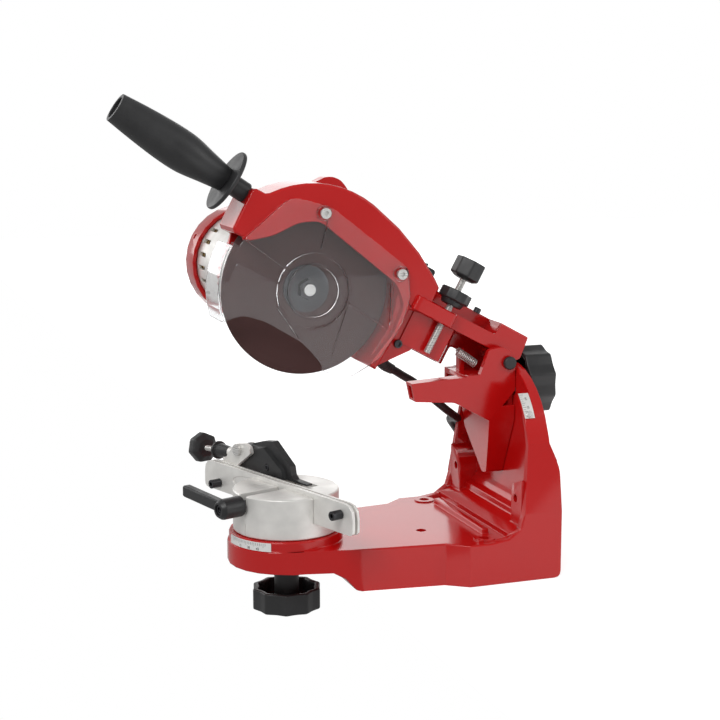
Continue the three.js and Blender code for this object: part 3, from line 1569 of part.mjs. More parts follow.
function handleGuard() {
  const disc_at = collar_length - hand_guard_thickness;
  return turned([
    [stud_radius + fit, -collar_gap], [collar_radius, -collar_gap], [collar_radius, -disc_at], [hand_guard_radius - 1, -disc_at + 1],
    [hand_guard_radius, -disc_at], [hand_guard_radius, -collar_length + 1], [hand_guard_radius - 1, -collar_length], [stud_radius + fit, -collar_length],
  ], 'x');
}

function handleGrip() {
  const start = collar_length + fit;
  const length = handle_length - start;
  const outside = grip_shares.map(([place, share]) => [share * grip_radius, -(start + place * length)]);
  return turned([
    [stud_radius + fit, -start], ...outside, [end_opening, -handle_length],
    [end_opening, end_recess - handle_length], [stud_radius + fit, end_recess - handle_length],
  ], 'x', middle_sides);
}

function handleStud() {
  return disc(stud_radius, 'x', -handle_length + end_recess - end_nut_length - 2, stud_depth, small_sides);
}

function handleNut() {
  const seat = -handle_length + end_recess - fit;
  const nut = prism(hexagon(end_nut_radius), 'x', seat - end_nut_length, seat);
  return cut(nut, disc(stud_radius + fit, 'x', seat - end_nut_length - overrun, seat + overrun, small_sides));
}

// Mains lead

function leadTube(route, steps) {
  return tube(route, lead_radius, lead_sides, steps);
}

// A clip: a loop round the lead, with a tab that lies on the face that it is screwed to
function leadClip(place, direction, tab_y, tab_side, tab_height) {
  const outer = lead_radius + fit + clip_wall;
  const loop = disc(outer, 'z', -clip_width / 2, clip_width / 2, small_sides);
  const way = disc(lead_radius + 2 * fit, 'z', -2 * clip_width, 2 * clip_width, small_sides);
  const turn = new THREE.Quaternion().setFromUnitVectors(
    new THREE.Vector3(0, 0, 1), new THREE.Vector3(...direction).normalize(),
  );
  const [x, y, z] = place;
  const [from, to] = [tab_y, tab_y + tab_side * clip_wall].sort((a, b) => a - b);
  const tab = block(x - clip_width / 2, x + clip_width / 2, from, to, z, z + tab_height);
  const lug = block(x - clip_width / 2, x + clip_width / 2, Math.min(from, y), Math.max(to, y), z + outer - clip_wall, z + outer);
  return cut(
    join(moved(loop.applyQuaternion(turn), x, y, z), tab, lug),
    moved(way.applyQuaternion(turn), x, y, z),
  );
}

function bracketClip() {
  return leadClip(bracket_clip_place, bracket_clip_way, bracket_half_width + fit, 1, bracket_clip_tab);
}

function columnClip() {
  const share = (column_clip_place[2] - taper_start) / (shoulder_high - taper_start);
  const rim = Math.sqrt(tray_radius ** 2 - (shoulder_high - tilt_height) ** 2);
  const wall = base_half_width - share * (base_half_width - rim);
  return leadClip(column_clip_place, column_clip_way, wall + fit, 1, column_clip_tab);
}

function strainRelief() {
  return tube(relief_route, relief_radius, lead_sides, 8);
}

// A point on the lead a little before or behind a clip's middle, so that two stretches meet inside it
function beside(place, way, distance) {
  const point = new THREE.Vector3(...way).normalize().multiplyScalar(distance);
  return point.add(new THREE.Vector3(...place)).toArray();
}

function leadUpper() {
  const end = [beside(bracket_clip_place, bracket_clip_way, -clip_width), beside(bracket_clip_place, bracket_clip_way, -fit / 2)];
  return leadTube([...lead_upper_route, ...end], 10);
}

function leadLower() {
  const start = [beside(bracket_clip_place, bracket_clip_way, fit / 2), beside(bracket_clip_place, bracket_clip_way, clip_width)];
  const end = [beside(column_clip_place, column_clip_way, -clip_width), beside(column_clip_place, column_clip_way, -fit / 2)];
  return leadTube([...start, ...lead_lower_route, ...end], 10);
}

// The coil: one unbroken turn after another, in to the middle, up a layer and out again
function coilRoute() {
  const pitch = 2 * lead_radius + coil_gap;
  const outer = coil_radius + pitch * coil_turns / 2;
  const climb_turns = 0.5;
  const total = coil_turns + climb_turns + coil_turns_out;
  const steps = Math.round(total * coil_steps);
  const points = [];
  for (let step = 0; step <= steps; step += 1) {
    const turn = total * step / steps;
    const angle = Math.PI - 2 * Math.PI * turn;
    const inward = Math.min(turn, coil_turns + climb_turns / 2);
    const outward = Math.max(0, turn - coil_turns - climb_turns / 2);
    const climb = Math.min(1, Math.max(0, (turn - coil_turns) / climb_turns));
    const reach = outer - pitch * (inward - outward);
    const height = lead_radius + fit + pitch * climb * climb * (3 - 2 * climb);
    points.push([coil_x + reach * Math.cos(angle), coil_y + reach * Math.sin(angle), height]);
  }
  return points;
}

function leastGap(points) {
  let least = Infinity;
  const near = Math.round(coil_steps / 2);
  const here = new THREE.Vector3();
  const there = new THREE.Vector3();
  points.forEach((point, index) => {
    here.set(...point);
    for (let other = index + near; other < points.length; other += 1) {
      least = Math.min(least, here.distanceTo(there.set(...points[other])));
    }
  });
  return least - 2 * lead_radius;
}

const coil_points = coilRoute();
const coil_first = coil_points[0];
const coil_last = coil_points[coil_points.length - 1];
const plug_z = plug_half_height + fit;
const plug_y = coil_last[1] + coil_tail * tail_shares[tail_shares.length - 1][1];

function cordCoil() {
  console.log('coil, least gap between turns, mm:', leastGap(coil_points).toFixed(2));
  const [x, y, z] = coil_last;
  const tail = tail_shares.map(([over, up]) => [x + coil_tail * over, y + coil_tail * up, z + (plug_z - z) * over]);
  const lead_in = [coil_first[0], coil_first[1] - 2 * lead_radius, coil_first[2]];
  return tube([lead_in, ...coil_points, ...tail], lead_radius, coil_sides, coil_points.length + 7);
}

function mainsCord() {
  const start = beside(column_clip_place, column_clip_way, fit / 2);
  const below = beside(column_clip_place, column_clip_way, clip_width);
  const end_y = coil_first[1] - 2 * lead_radius - fit;
  const end = [[coil_first[0], end_y - 4 * lead_radius, coil_first[2]], [coil_first[0], end_y, coil_first[2]]];
  return leadTube([start, below, ...mains_route, ...end], middle_sides);
}

function plugBody() {
  const start = coil_last[0] + coil_tail + fit;
  const shape = new THREE.Shape();
  shape.absellipse(0, 0, plug_half_width, plug_half_height, 0, 2 * Math.PI, false);
  const body = prism(shape, 'x', start + plug_length / 3, start + plug_length, plug_edge);
  const neck = turned([
    [0, start], [plug_neck, start], [plug_half_height - plug_edge, start + plug_length / 2], [0, start + plug_length / 2],
  ], 'x', 16);
  return moved(cut(join(body, neck), plugPinShape(start + plug_length, fit)), 0, plug_y, plug_z);
}

// Both pins and the bridge that holds them inside the plug
function plugPinShape(face, extra) {
  const radius = plug_pin_radius + extra;
  const inside = face - plug_pin_bridge;
  const pins = [-1, 1].map((side) => moved(
    turned([
      [0, inside], [radius, inside], [radius, face + plug_pin_length - 1],
      [plug_pin_radius - 1, face + plug_pin_length + extra], [0, face + plug_pin_length + extra],
    ], 'x', 12),
    0, side * plug_pin_spread / 2, 0,
  ));
  const reach = plug_pin_spread / 2;
  const bridge = block(inside - extra, inside + plug_pin_radius + extra, -reach, reach, -radius, radius);
  const way_in = extra > 0 ? [block(inside - extra, face + overrun, -reach, reach, -radius, radius)] : [];
  return join(bridge, ...pins, ...way_in);
}

function plugPins() {
  const face = coil_last[0] + coil_tail + fit + plug_length;
  return moved(plugPinShape(face, 0), 0, plug_y, plug_z);
}

// Assembly

const base = group(
  piece('base_casting', 'red_paint', baseCasting()),
  piece('vise_scale', 'white', viseScale()),
  piece('tilt_scale', 'silver', tiltScale()),
  piece('tilt_scale_screw', 'steel', tiltScaleScrew()),
  piece('tilt_pivot_bolt', 'dark_steel', tiltPivotBolt()),
  piece('column_lead_clip', 'black_plastic', columnClip()),
);

const vise = group(
  piece('turntable', 'silver', turntable()),
  piece('rail_front', 'silver', railFront()),
  piece('rail_rear', 'silver', railRear()),
  piece('guide_screw_left', 'dark_steel', guideScrew(guide_spots[0])),
  piece('guide_screw_right', 'dark_steel', guideScrew(guide_spots[1])),
  piece('clamp_lever', 'black_plastic', clampLever()),
  piece('clamp_screw', 'dark_steel', clampScrew()),
  piece('stop_bracket', 'silver', stopBracket()),
  piece('stop_pawl', 'black_plastic', stopPawl()),
  piece('stop_pivot_pin', 'steel', stopPivotPin()),
);
vise.rotation.z = vise_turn * degrees;

const stop_screw = group(
  piece('stop_rod', 'steel', stopRod()),
  piece('stop_knob', 'black_plastic', stopKnob()),
  piece('stop_lock_nut', 'black_plastic', stopLockNut()),
);
stop_screw.position.set(stop_screw_u, stop_axis_y, stop_screw_z);
stop_screw.rotation.y = -stop_screw_slope * degrees;
vise.add(stop_screw);

const lock = group(
  piece('base_lock_bolt', 'dark_steel', baseLockBolt()),
  piece('base_lock_knob', 'black_plastic', baseLockKnob()),
);

const bracket = group(
  piece('tilt_bracket', 'red_paint', tiltBracket()),
  piece('tilt_lock_bolt', 'dark_steel', tiltLockBolt()),
  piece('tilt_lock_knob', 'black_plastic', tiltLockKnob()),
  piece('swing_pin', 'steel', swingPin()),
  piece('pin_cap', 'black_plastic', pinCap()),
  piece('return_spring', 'steel', returnSpring()),
  piece('bracket_lead_clip', 'black_plastic', bracketClip()),
);

const head = group(
  piece('head_casting', 'red_paint', headCasting()),
  piece('clear_guard', 'clear', clearGuard()),
  piece('guard_screw_front', 'steel', guardScrew(guardSpots()[0])),
  piece('guard_screw_back', 'steel', guardScrew(guardSpots()[1])),
  piece('grinding_wheel', 'abrasive', grindingWheel()),
  piece('flange_nut', 'dark_steel', flangeNut()),
  piece('spindle', 'steel', spindle()),
  piece('spindle_gear', 'steel', spindleGear()),
  piece('spindle_bearing_front', 'steel', bearing(front_bearing_y, spindle_radius, spindleAt)),
  piece('spindle_bearing_rear', 'steel', bearing(rear_bearing_y, spindle_radius, spindleAt)),
  piece('rotor', 'copper', rotor()),
  piece('rotor_bearing', 'steel', bearing(rear_bearing_y, shaft_radius, motorAt)),
  piece('stator', 'dark_steel', stator()),
  piece('brush_gear', 'brass', brushGear()),
  piece('motor_housing', 'silver', motorHousing()),
  piece('motor_cap', 'red_paint', motorCap()),
  piece('switch_box', 'black_plastic', switchBox()),
  piece('switch_rocker', 'black_plastic', switchRocker()),
  piece('depth_rod', 'steel', depthRod()),
  piece('depth_knob', 'black_plastic', depthKnob()),
  piece('depth_lock_nut', 'black_plastic', depthLockNut()),
);
head.position.set(pin_x, 0, pin_z);
head.rotation.y = head_turn * degrees;

const handle = group(
  piece('handle_guard', 'black_plastic', handleGuard()),
  piece('handle_grip', 'black_plastic', handleGrip()),
  piece('handle_stud', 'steel', handleStud()),
  piece('handle_nut', 'copper', handleNut()),
);
handle.position.set(nose_x, handle_y, handle_z);
handle.rotation.y = handle_lift * degrees;
head.add(handle);

const lead = group(
  piece('strain_relief', 'black_plastic', strainRelief()),
  piece('lead_upper', 'black_plastic', leadUpper()),
  piece('lead_lower', 'black_plastic', leadLower()),
  piece('mains_cord', 'black_plastic', mainsCord()),
  piece('cord_coil', 'black_plastic', cordCoil()),
  piece('plug_body', 'black_plastic', plugBody()),
  piece('plug_pins', 'brass', plugPins()),
);

const sharpener = group(base, vise, lock, bracket, head, lead);
sharpener.name = 'sharpener';
sharpener.position.x = -foot_centre;
export default sharpener;
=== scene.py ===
"""The looks of an electric chainsaw sharpener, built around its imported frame. All lengths in millimetres."""

import json
import math

import bmesh
import bpy
from mathutils import Matrix, Vector

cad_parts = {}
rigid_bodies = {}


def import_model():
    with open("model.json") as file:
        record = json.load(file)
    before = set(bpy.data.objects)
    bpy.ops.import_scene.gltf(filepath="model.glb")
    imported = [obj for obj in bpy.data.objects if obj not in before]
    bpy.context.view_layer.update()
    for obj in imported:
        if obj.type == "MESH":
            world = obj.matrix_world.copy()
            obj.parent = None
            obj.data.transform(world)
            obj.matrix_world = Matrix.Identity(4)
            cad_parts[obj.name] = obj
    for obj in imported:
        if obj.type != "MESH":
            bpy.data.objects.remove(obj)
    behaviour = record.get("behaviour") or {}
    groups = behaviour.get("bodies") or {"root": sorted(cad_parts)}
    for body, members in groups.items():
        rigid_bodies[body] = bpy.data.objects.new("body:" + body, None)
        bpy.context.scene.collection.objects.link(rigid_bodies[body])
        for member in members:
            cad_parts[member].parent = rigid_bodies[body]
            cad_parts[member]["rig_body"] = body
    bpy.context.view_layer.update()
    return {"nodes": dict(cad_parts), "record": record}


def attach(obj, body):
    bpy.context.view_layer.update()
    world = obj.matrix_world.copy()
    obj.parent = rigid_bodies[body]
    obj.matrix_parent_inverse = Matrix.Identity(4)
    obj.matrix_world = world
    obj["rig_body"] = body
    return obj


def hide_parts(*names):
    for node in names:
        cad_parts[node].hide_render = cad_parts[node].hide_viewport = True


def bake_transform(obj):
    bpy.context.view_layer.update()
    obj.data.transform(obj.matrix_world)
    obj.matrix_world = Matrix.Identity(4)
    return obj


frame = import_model()
NODES = frame["nodes"]
MM = 0.001
FULL_TURN = 2 * math.pi


def moved(x, y, z):
    return Matrix.Translation((x, y, z))


def about(axis, degrees):
    return Matrix.Rotation(math.radians(degrees), 4, axis)


# The part's own frames: the vice turned about Z, the head turned about its pin
BASE = moved(-133, 0, 0)
VISE = BASE @ about("Z", -71.1)
HEAD = moved(61.1, 0, 177.7) @ about("Y", 28.4)
HANDLE = HEAD @ moved(-272, -5, 23.5) @ about("Y", 5.2)
STOP = VISE @ moved(-105.3, 12.6, 88.2) @ about("Y", -4.7)
SPINDLE = HEAD @ moved(-188.2, 0, -22.6)
DEPTH_X, DEPTH_Y = -70, -17
TILT_KNOB_X, TILT_BOLT_HEIGHT = 105.1, 156.6
BASE_KNOB_FLOOR = -26.1
STOP_KNOB_FACE = -34
DEPTH_KNOB_HEIGHT = 45


# Camera

CAMERA_PLACE = (-0.5246, -1.2594, 0.4199)
CAMERA_PITCH, CAMERA_HEADING = 80, -20
CAMERA_LENS, CAMERA_NEAR = 80.2, 0.05

camera = bpy.data.objects.new("camera", bpy.data.cameras.new("camera"))
bpy.context.scene.collection.objects.link(camera)
camera.location = CAMERA_PLACE
camera.rotation_euler = (math.radians(CAMERA_PITCH), 0, math.radians(CAMERA_HEADING))
camera.data.lens = CAMERA_LENS
camera.data.clip_start = CAMERA_NEAR
bpy.context.scene.camera = camera


# Materials

NOISE, CELLS = "ShaderNodeTexNoise", "ShaderNodeTexVoronoi"
NOISE_LOW, NOISE_HIGH = 0.3, 0.7


def shader(name, colour, roughness, metallic=0.0, **extra):
    """A material with a Principled shader; extra sets more of its sockets by name."""
    made = bpy.data.materials.new(name)
    made.use_nodes = True
    node = made.node_tree.nodes["Principled BSDF"]
    node.inputs["Base Color"].default_value = (*colour, 1)
    node.inputs["Roughness"].default_value = roughness
    node.inputs["Metallic"].default_value = metallic
    for socket, value in extra.items():
        node.inputs[socket.replace("_", " ")].default_value = value
    return made, node


def texture(made, kind, scale, **extra):
    """A procedural texture on the object's own coordinates."""
    tree = made.node_tree
    place = tree.nodes.new("ShaderNodeTexCoord")
    node = tree.nodes.new(kind)
    tree.links.new(place.outputs["Object"], node.inputs["Vector"])
    node.inputs["Scale"].default_value = scale
    for socket, value in extra.items():
        node.inputs[socket].default_value = value
    return node


def spread(made, source, target, low, high):
    """A texture's value, moved into a range, drives a socket of the shader."""
    tree = made.node_tree
    ramp = tree.nodes.new("ShaderNodeMapRange")
    ramp.inputs["From Min"].default_value = NOISE_LOW
    ramp.inputs["From Max"].default_value = NOISE_HIGH
    ramp.inputs["To Min"].default_value = low
    ramp.inputs["To Max"].default_value = high
    tree.links.new(source, ramp.inputs["Value"])
    tree.links.new(ramp.outputs["Result"], target)


def tint(made, source, target, low, high):
    """A texture's value blends between two colours."""
    tree = made.node_tree
    ramp = tree.nodes.new("ShaderNodeValToRGB")
    ramp.color_ramp.elements[0].position = NOISE_LOW
    ramp.color_ramp.elements[1].position = NOISE_HIGH
    ramp.color_ramp.elements[0].color = (*low, 1)
    ramp.color_ramp.elements[1].color = (*high, 1)
    tree.links.new(source, ramp.inputs["Fac"])
    tree.links.new(ramp.outputs["Color"], target)


def bumpy(made, node, source, strength, distance):
    tree = made.node_tree
    bump = tree.nodes.new("ShaderNodeBump")
    bump.inputs["Strength"].default_value = strength
    bump.inputs["Distance"].default_value = distance
    tree.links.new(source, bump.inputs["Height"])
    tree.links.new(bump.outputs["Normal"], node.inputs["Normal"])


def scaled(colour, share):
    return tuple(channel * share for channel in colour)


def red_paint():
    """Glossy paint over a casting, with a faint orange peel and a slightly uneven gloss."""
    made, node = shader("red_paint", colour=(0.53, 0.006, 0.006), roughness=0.17, Specular_IOR_Level=0.45)
    peel = texture(made, NOISE, scale=420, Detail=3.0, Roughness=0.45).outputs["Fac"]
    broad = texture(made, NOISE, scale=16, Detail=3.0).outputs["Fac"]
    tint(made, broad, node.inputs["Base Color"], low=(0.52, 0.005, 0.005), high=(0.55, 0.007, 0.007))
    spread(made, broad, node.inputs["Roughness"], low=0.14, high=0.19)
    bumpy(made, node, peel, strength=0.05, distance=0.0003)
    return made


def black_plastic(name, grain, roughness, colour):
    """Moulded plastic or rubber: a fine grain, and patches of slightly other colour and gloss."""
    duller, shinier = 0.1, 0.06
    darker, lighter = 0.8, 1.3
    made, node = shader(name, colour, roughness)
    fine = texture(made, NOISE, grain, Detail=3.0).outputs["Fac"]
    broad = texture(made, NOISE, scale=60, Detail=4.0).outputs["Fac"]
    tint(made, broad, node.inputs["Base Color"], scaled(colour, darker), scaled(colour, lighter))
    spread(made, broad, node.inputs["Roughness"], roughness - shinier, roughness + duller)
    bumpy(made, node, fine, strength=0.25, distance=0.00025)
    return made


def machined(name, colour, roughness, metallic=1.0):
    """Turned or brushed metal: fine lines along one direction and a few duller patches."""
    line_scale = (40, 40, 900)
    duller, shinier = 0.1, 0.08
    darker = 0.86
    made, node = shader(name, colour, roughness, metallic)
    tree = made.node_tree
    place = tree.nodes.new("ShaderNodeTexCoord")
    mapping = tree.nodes.new("ShaderNodeMapping")
    mapping.inputs["Scale"].default_value = line_scale
    lines = tree.nodes.new(NOISE)
    lines.inputs["Scale"].default_value = 1.0
    lines.inputs["Detail"].default_value = 5.0
    tree.links.new(place.outputs["Object"], mapping.inputs["Vector"])
    tree.links.new(mapping.outputs["Vector"], lines.inputs["Vector"])
    patches = texture(made, NOISE, scale=70, Detail=5.0).outputs["Fac"]
    tint(made, patches, node.inputs["Base Color"], scaled(colour, darker), colour)
    spread(made, lines.outputs["Fac"], node.inputs["Roughness"], roughness - shinier, roughness + duller)
    bumpy(made, node, lines.outputs["Fac"], strength=0.12, distance=0.0002)
    return made


def abrasive():
    """Bonded grit: dark and paler grains in a brown binder."""
    made, node = shader("abrasive", colour=(0.07, 0.030, 0.028), roughness=0.92)
    grit = texture(made, CELLS, scale=2400).outputs["Distance"]
    speck = texture(made, NOISE, scale=1900, Detail=3.0).outputs["Fac"]
    tint(made, speck, node.inputs["Base Color"], low=(0.050, 0.020, 0.019), high=(0.088, 0.037, 0.034))
    bumpy(made, node, grit, strength=0.35, distance=0.0003)
    return made


def clear_plastic():
    """Clear moulded guard with a faint haze."""
    made, node = shader(
        "clear_guard_plastic", colour=(0.96, 0.97, 0.98), roughness=0.03,
        Transmission_Weight=1.0, IOR=1.46, Specular_IOR_Level=0.28,
    )
    haze = texture(made, NOISE, scale=35, Detail=3.0).outputs["Fac"]
    spread(made, haze, node.inputs["Roughness"], low=0.015, high=0.05)
    return made


def matt(name, colour, roughness):
    """A printed or coated surface with a fine grain."""
    darker = 0.93
    made, node = shader(name, colour, roughness)
    fine = texture(made, NOISE, scale=500, Detail=2.0).outputs["Fac"]
    tint(made, fine, node.inputs["Base Color"], scaled(colour, darker), colour)
    bumpy(made, node, fine, strength=0.08, distance=0.0002)
    return made


FINISH = {
    "red_paint": red_paint(),
    "black_plastic": black_plastic("black_plastic", grain=1400, roughness=0.42, colour=(0.018, 0.018, 0.019)),
    "cable_rubber": black_plastic("cable_rubber", grain=500, roughness=0.5, colour=(0.014, 0.014, 0.015)),
    "silver": machined("silver", colour=(0.88, 0.865, 0.83), roughness=0.38, metallic=0.35),
    "steel": machined("steel", colour=(0.72, 0.71, 0.69), roughness=0.3, metallic=0.7),
    "dark_steel": machined("dark_steel", colour=(0.07, 0.07, 0.075), roughness=0.36),
    "white_label": matt("white_label", colour=(0.85, 0.85, 0.83), roughness=0.45),
    "abrasive": abrasive(),
    "clear": clear_plastic(),
    "copper": machined("copper", colour=(0.55, 0.25, 0.11), roughness=0.32),
    "brass": machined("brass", colour=(0.65, 0.47, 0.2), roughness=0.32),
    "ink": matt("ink", colour=(0.015, 0.015, 0.015), roughness=0.5),
}


# Shapes

SAME_POINT = 1e-4
CAD_SAME_POINT = 2e-6
FLAT_WITHIN, EDGE_FROM, FORM_SHARP = 0.4, 30, 38
SHORT_EDGE_SHARE = 2.2
NODE_SHARP = 32
CORNER_STEPS = 4
CORNER_REACH_SHARE = 0.45
CABLE_SHARP = 60


def piece(name, mesh, finish, body, nodes=(), turn=None):
    """Puts a mesh in place with a finish, on a body, for the CAD nodes that it stands for."""
    if turn is not None:
        mesh.transform(turn)
        mesh.transform(Matrix.Scale(MM, 4))
    made = bpy.data.objects.new(name, mesh)
    bpy.context.scene.collection.objects.link(made)
    made.data.materials.clear()
    made.data.materials.append(FINISH[finish])
    if body:
        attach(made, body)
    if nodes:
        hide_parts(*nodes)
    return made


def lofted(name, rings, sharp):
    """A closed skin over rings of equally many points."""
    count = len(rings[0])
    corners = [tuple(point) for ring in rings for point in ring]
    faces = []
    for row in range(len(rings) - 1):
        for side in range(count):
            a, b = row * count + side, row * count + (side + 1) % count
            faces.append((a, b, b + count, a + count))
    faces.append(tuple(range(count)))
    faces.append(tuple(range(len(corners) - count, len(corners))))
    mesh = bpy.data.meshes.new(name)
    mesh.from_pydata(corners, [], faces)
    work = bmesh.new()
    work.from_mesh(mesh)
    bmesh.ops.remove_doubles(work, verts=work.verts, dist=SAME_POINT)
    bmesh.ops.recalc_face_normals(work, faces=work.faces)
    work.to_mesh(mesh)
    work.free()
    mesh.shade_smooth()
    mesh.set_sharp_from_angle(angle=math.radians(sharp))
    return mesh


def turned(name, profile, sides, sharp, wave=None):
    """A profile of (radius, height) turned about Z; wave(angle, radius) may change the radius."""
    rings = []
    for radius, height in profile:
        ring = []
        for side in range(sides):
            angle = FULL_TURN * side / sides
            reach = wave(angle, radius) if wave else radius
            ring.append((reach * math.cos(angle), reach * math.sin(angle), height))
        rings.append(ring)
    return lofted(name, rings, sharp)


def softened(corners, radius):
    """A profile with its inner corners rounded, as a list of points."""
    out = [corners[0]]
    for before, here, after in zip(corners, corners[1:], corners[2:]):
        a, b, c = Vector(before), Vector(here), Vector(after)
        reach = min(radius, (a - b).length * CORNER_REACH_SHARE, (c - b).length * CORNER_REACH_SHARE)
        start, end = b + (a - b).normalized() * reach, b + (c - b).normalized() * reach
        for step in range(CORNER_STEPS + 1):
            t = step / CORNER_STEPS
            out.append(tuple(start * (1 - t) ** 2 + b * (2 * t * (1 - t)) + end * t ** 2))
    out.append(corners[-1])
    return out


def smooth_path(points, steps):
    """Points on a smooth curve through the given ones, as the part's source draws its leads."""
    knots = [Vector(p) for p in points]
    knots = [knots[0] * 2 - knots[1]] + knots + [knots[-1] * 2 - knots[-2]]
    out = []
    for a, b, c, d in zip(knots, knots[1:], knots[2:], knots[3:]):
        for step in range(steps):
            t = step / steps
            bend = (2 * a - 5 * b + 4 * c - d) * t ** 2 + (3 * b - a - 3 * c + d) * t ** 3
            out.append(0.5 * ((2 * b) + (c - a) * t + bend))
    out.append(knots[-2])
    return out


def cable(name, path, radius, sides):
    """A round skin along a path; radius may be a list with one value for each point."""
    sizes = radius if isinstance(radius, list) else [radius] * len(path)
    across = None
    rings = []
    for index, point in enumerate(path):
        ahead = (path[min(index + 1, len(path) - 1)] - path[max(index - 1, 0)]).normalized()
        if across is None:
            across = ahead.orthogonal().normalized()
        across = (across - ahead * across.dot(ahead)).normalized()
        up = ahead.cross(across)
        ring = []
        for side in range(sides):
            angle = FULL_TURN * side / sides
            ring.append(point + (across * math.cos(angle) + up * math.sin(angle)) * sizes[index])
        rings.append(ring)
    return lofted(name, rings, CABLE_SHARP)


def rounded(node, finish, width):
    """The CAD node's own form with its edges rounded, but for those that end in a short edge."""
    work = bmesh.new()
    work.from_mesh(NODES[node].data)
    bmesh.ops.remove_doubles(work, verts=work.verts, dist=CAD_SAME_POINT)
    bmesh.ops.dissolve_limit(work, angle_limit=math.radians(FLAT_WITHIN), verts=work.verts, edges=work.edges)
    shortest = SHORT_EDGE_SHARE * width * MM
    short = {corner for edge in work.edges if edge.calc_length() < shortest for corner in edge.verts}
    edges = [
        edge for edge in work.edges
        if len(edge.link_faces) == 2 and edge.calc_face_angle(0) > math.radians(EDGE_FROM)
        and not short.intersection(edge.verts)
    ]
    bmesh.ops.bevel(
        work, geom=edges, offset=width * MM, offset_type="OFFSET", segments=2, profile=0.5,
        affect="EDGES", clamp_overlap=False,
    )
    mesh = bpy.data.meshes.new(node + "_form")
    work.to_mesh(mesh)
    work.free()
    mesh.shade_smooth()
    mesh.set_sharp_from_angle(angle=math.radians(FORM_SHARP))
    made = piece(node + "_form", mesh, finish, NODES[node]["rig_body"], [node])
    weigh = made.modifiers.new("weigh", "WEIGHTED_NORMAL")
    weigh.keep_sharp = True
    return made


# Leads and cord

LEAD = 3.6
LEAD_STEPS, LEAD_SIDES = 8, 16
CORD_STEPS, CORD_SIDES = 4, 14
HEAD_LEAD = [(105, 23.4, 169.2), (110, 25.4, 166.4), (117, 28, 162), (127, 29.9, 156)]
BASE_LEAD = [(161, 33.4, 127.4), (175, 42, 117.5), (181.5, 58, 113.5), (183.6, 70, 111), (186, 82.8, 107)]
RELIEF = [(90.2, 17, 183.6), (92.2, 17.3, 178.6), (97.2, 19.6, 173.6), (104.6, 23.3, 169.4)]
RELIEF_STEPS, RELIEF_SIDES = 12, 24
RELIEF_RADIUS, RELIEF_TAPER, RELIEF_GROOVE = 6, 1.6, 0.55
GROOVES_FROM_SHARE, GROOVES_TO_SHARE = 0.2, 0.95
GROOVE_EVERY, GROOVE_POINTS = 4, (0, 1)
BRACKET_CLIP = Vector((141, 31.4, 144.2))
BRACKET_WAY = Vector((15, 1.1, -13.2)).normalized()
COLUMN_CLIP = Vector((200, 89.4, 88))
COLUMN_WAY = Vector((3, 0, -5)).normalized()
CLIP_WIDTH = 8
CLIP_GAP = 0.15
MAINS = [
    (211.2, 90.5, 68.8), (218.9, 94.1, 54.6), (226.6, 100.7, 39.9), (233.7, 110.7, 26.2),
    (239.5, 124.7, 14.7), (243.4, 143, 6.8),
]
COIL_X, COIL_Y, COIL_RADIUS = 296, 188, 41
COIL_TURNS, COIL_CLIMB, COIL_OUT = 2.5, 0.5, 2.125
COIL_PITCH = 2 * LEAD + 0.9
COIL_STEPS = 24
COIL_TAIL = 60
FLOOR_GAP = 0.3
TAIL_SHARES = [(0.33, 0.33), (0.62, 0.54), (0.87, 0.61), (1, 0.61)]
PLUG_HEIGHT = 13.3
PLUG_EDGE, PIN_EDGE = 1.2, 0.3


def coil_route():
    """The coil's middle line: in to the middle, up a layer and out again."""
    outer = COIL_RADIUS + COIL_PITCH * COIL_TURNS / 2
    total = COIL_TURNS + COIL_CLIMB + COIL_OUT
    steps = round(total * COIL_STEPS)
    points = []
    for step in range(steps + 1):
        turn = total * step / steps
        angle = math.pi - FULL_TURN * turn
        inward = min(turn, COIL_TURNS + COIL_CLIMB / 2)
        outward = max(0, turn - COIL_TURNS - COIL_CLIMB / 2)
        climb = min(1, max(0, (turn - COIL_TURNS) / COIL_CLIMB))
        reach = outer - COIL_PITCH * (inward - outward)
        height = LEAD + FLOOR_GAP + COIL_PITCH * climb * climb * (3 - 2 * climb)
        points.append((COIL_X + reach * math.cos(angle), COIL_Y + reach * math.sin(angle), height))
    return points


def out_of(clip, way):
    """The lead's first points, from a clip's middle along its way."""
    return [clip + way * CLIP_GAP, clip + way * CLIP_WIDTH]


def into(clip, way):
    """The lead's last points, along a clip's way to its middle."""
    return [clip - way * CLIP_WIDTH, clip - way * CLIP_GAP]


def relief():
    """The ribbed sleeve round the lead where it leaves the head."""
    path = smooth_path(RELIEF, RELIEF_STEPS)
    sizes = []
    for index in range(len(path)):
        share = index / (len(path) - 1)
        grooved = GROOVES_FROM_SHARE < share < GROOVES_TO_SHARE and index % GROOVE_EVERY in GROOVE_POINTS
        sizes.append(RELIEF_RADIUS - RELIEF_TAPER * share - (RELIEF_GROOVE if grooved else 0))
    mesh = cable("relief_form", path, sizes, RELIEF_SIDES)
    piece("relief_form", mesh, "black_plastic", "head", ["strain_relief"], BASE)


def lead(name, points, node):
    mesh = cable(name, smooth_path(points, LEAD_STEPS), LEAD, LEAD_SIDES)
    return piece(name, mesh, "cable_rubber", None, [node], BASE)


def leads():
    relief()
    upper = lead("lead_head", HEAD_LEAD + into(BRACKET_CLIP, BRACKET_WAY), "lead_upper")
    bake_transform(upper)
    route = out_of(BRACKET_CLIP, BRACKET_WAY) + BASE_LEAD + into(COLUMN_CLIP, COLUMN_WAY)
    lower = lead("lead_base", route, "lead_lower")
    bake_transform(lower)


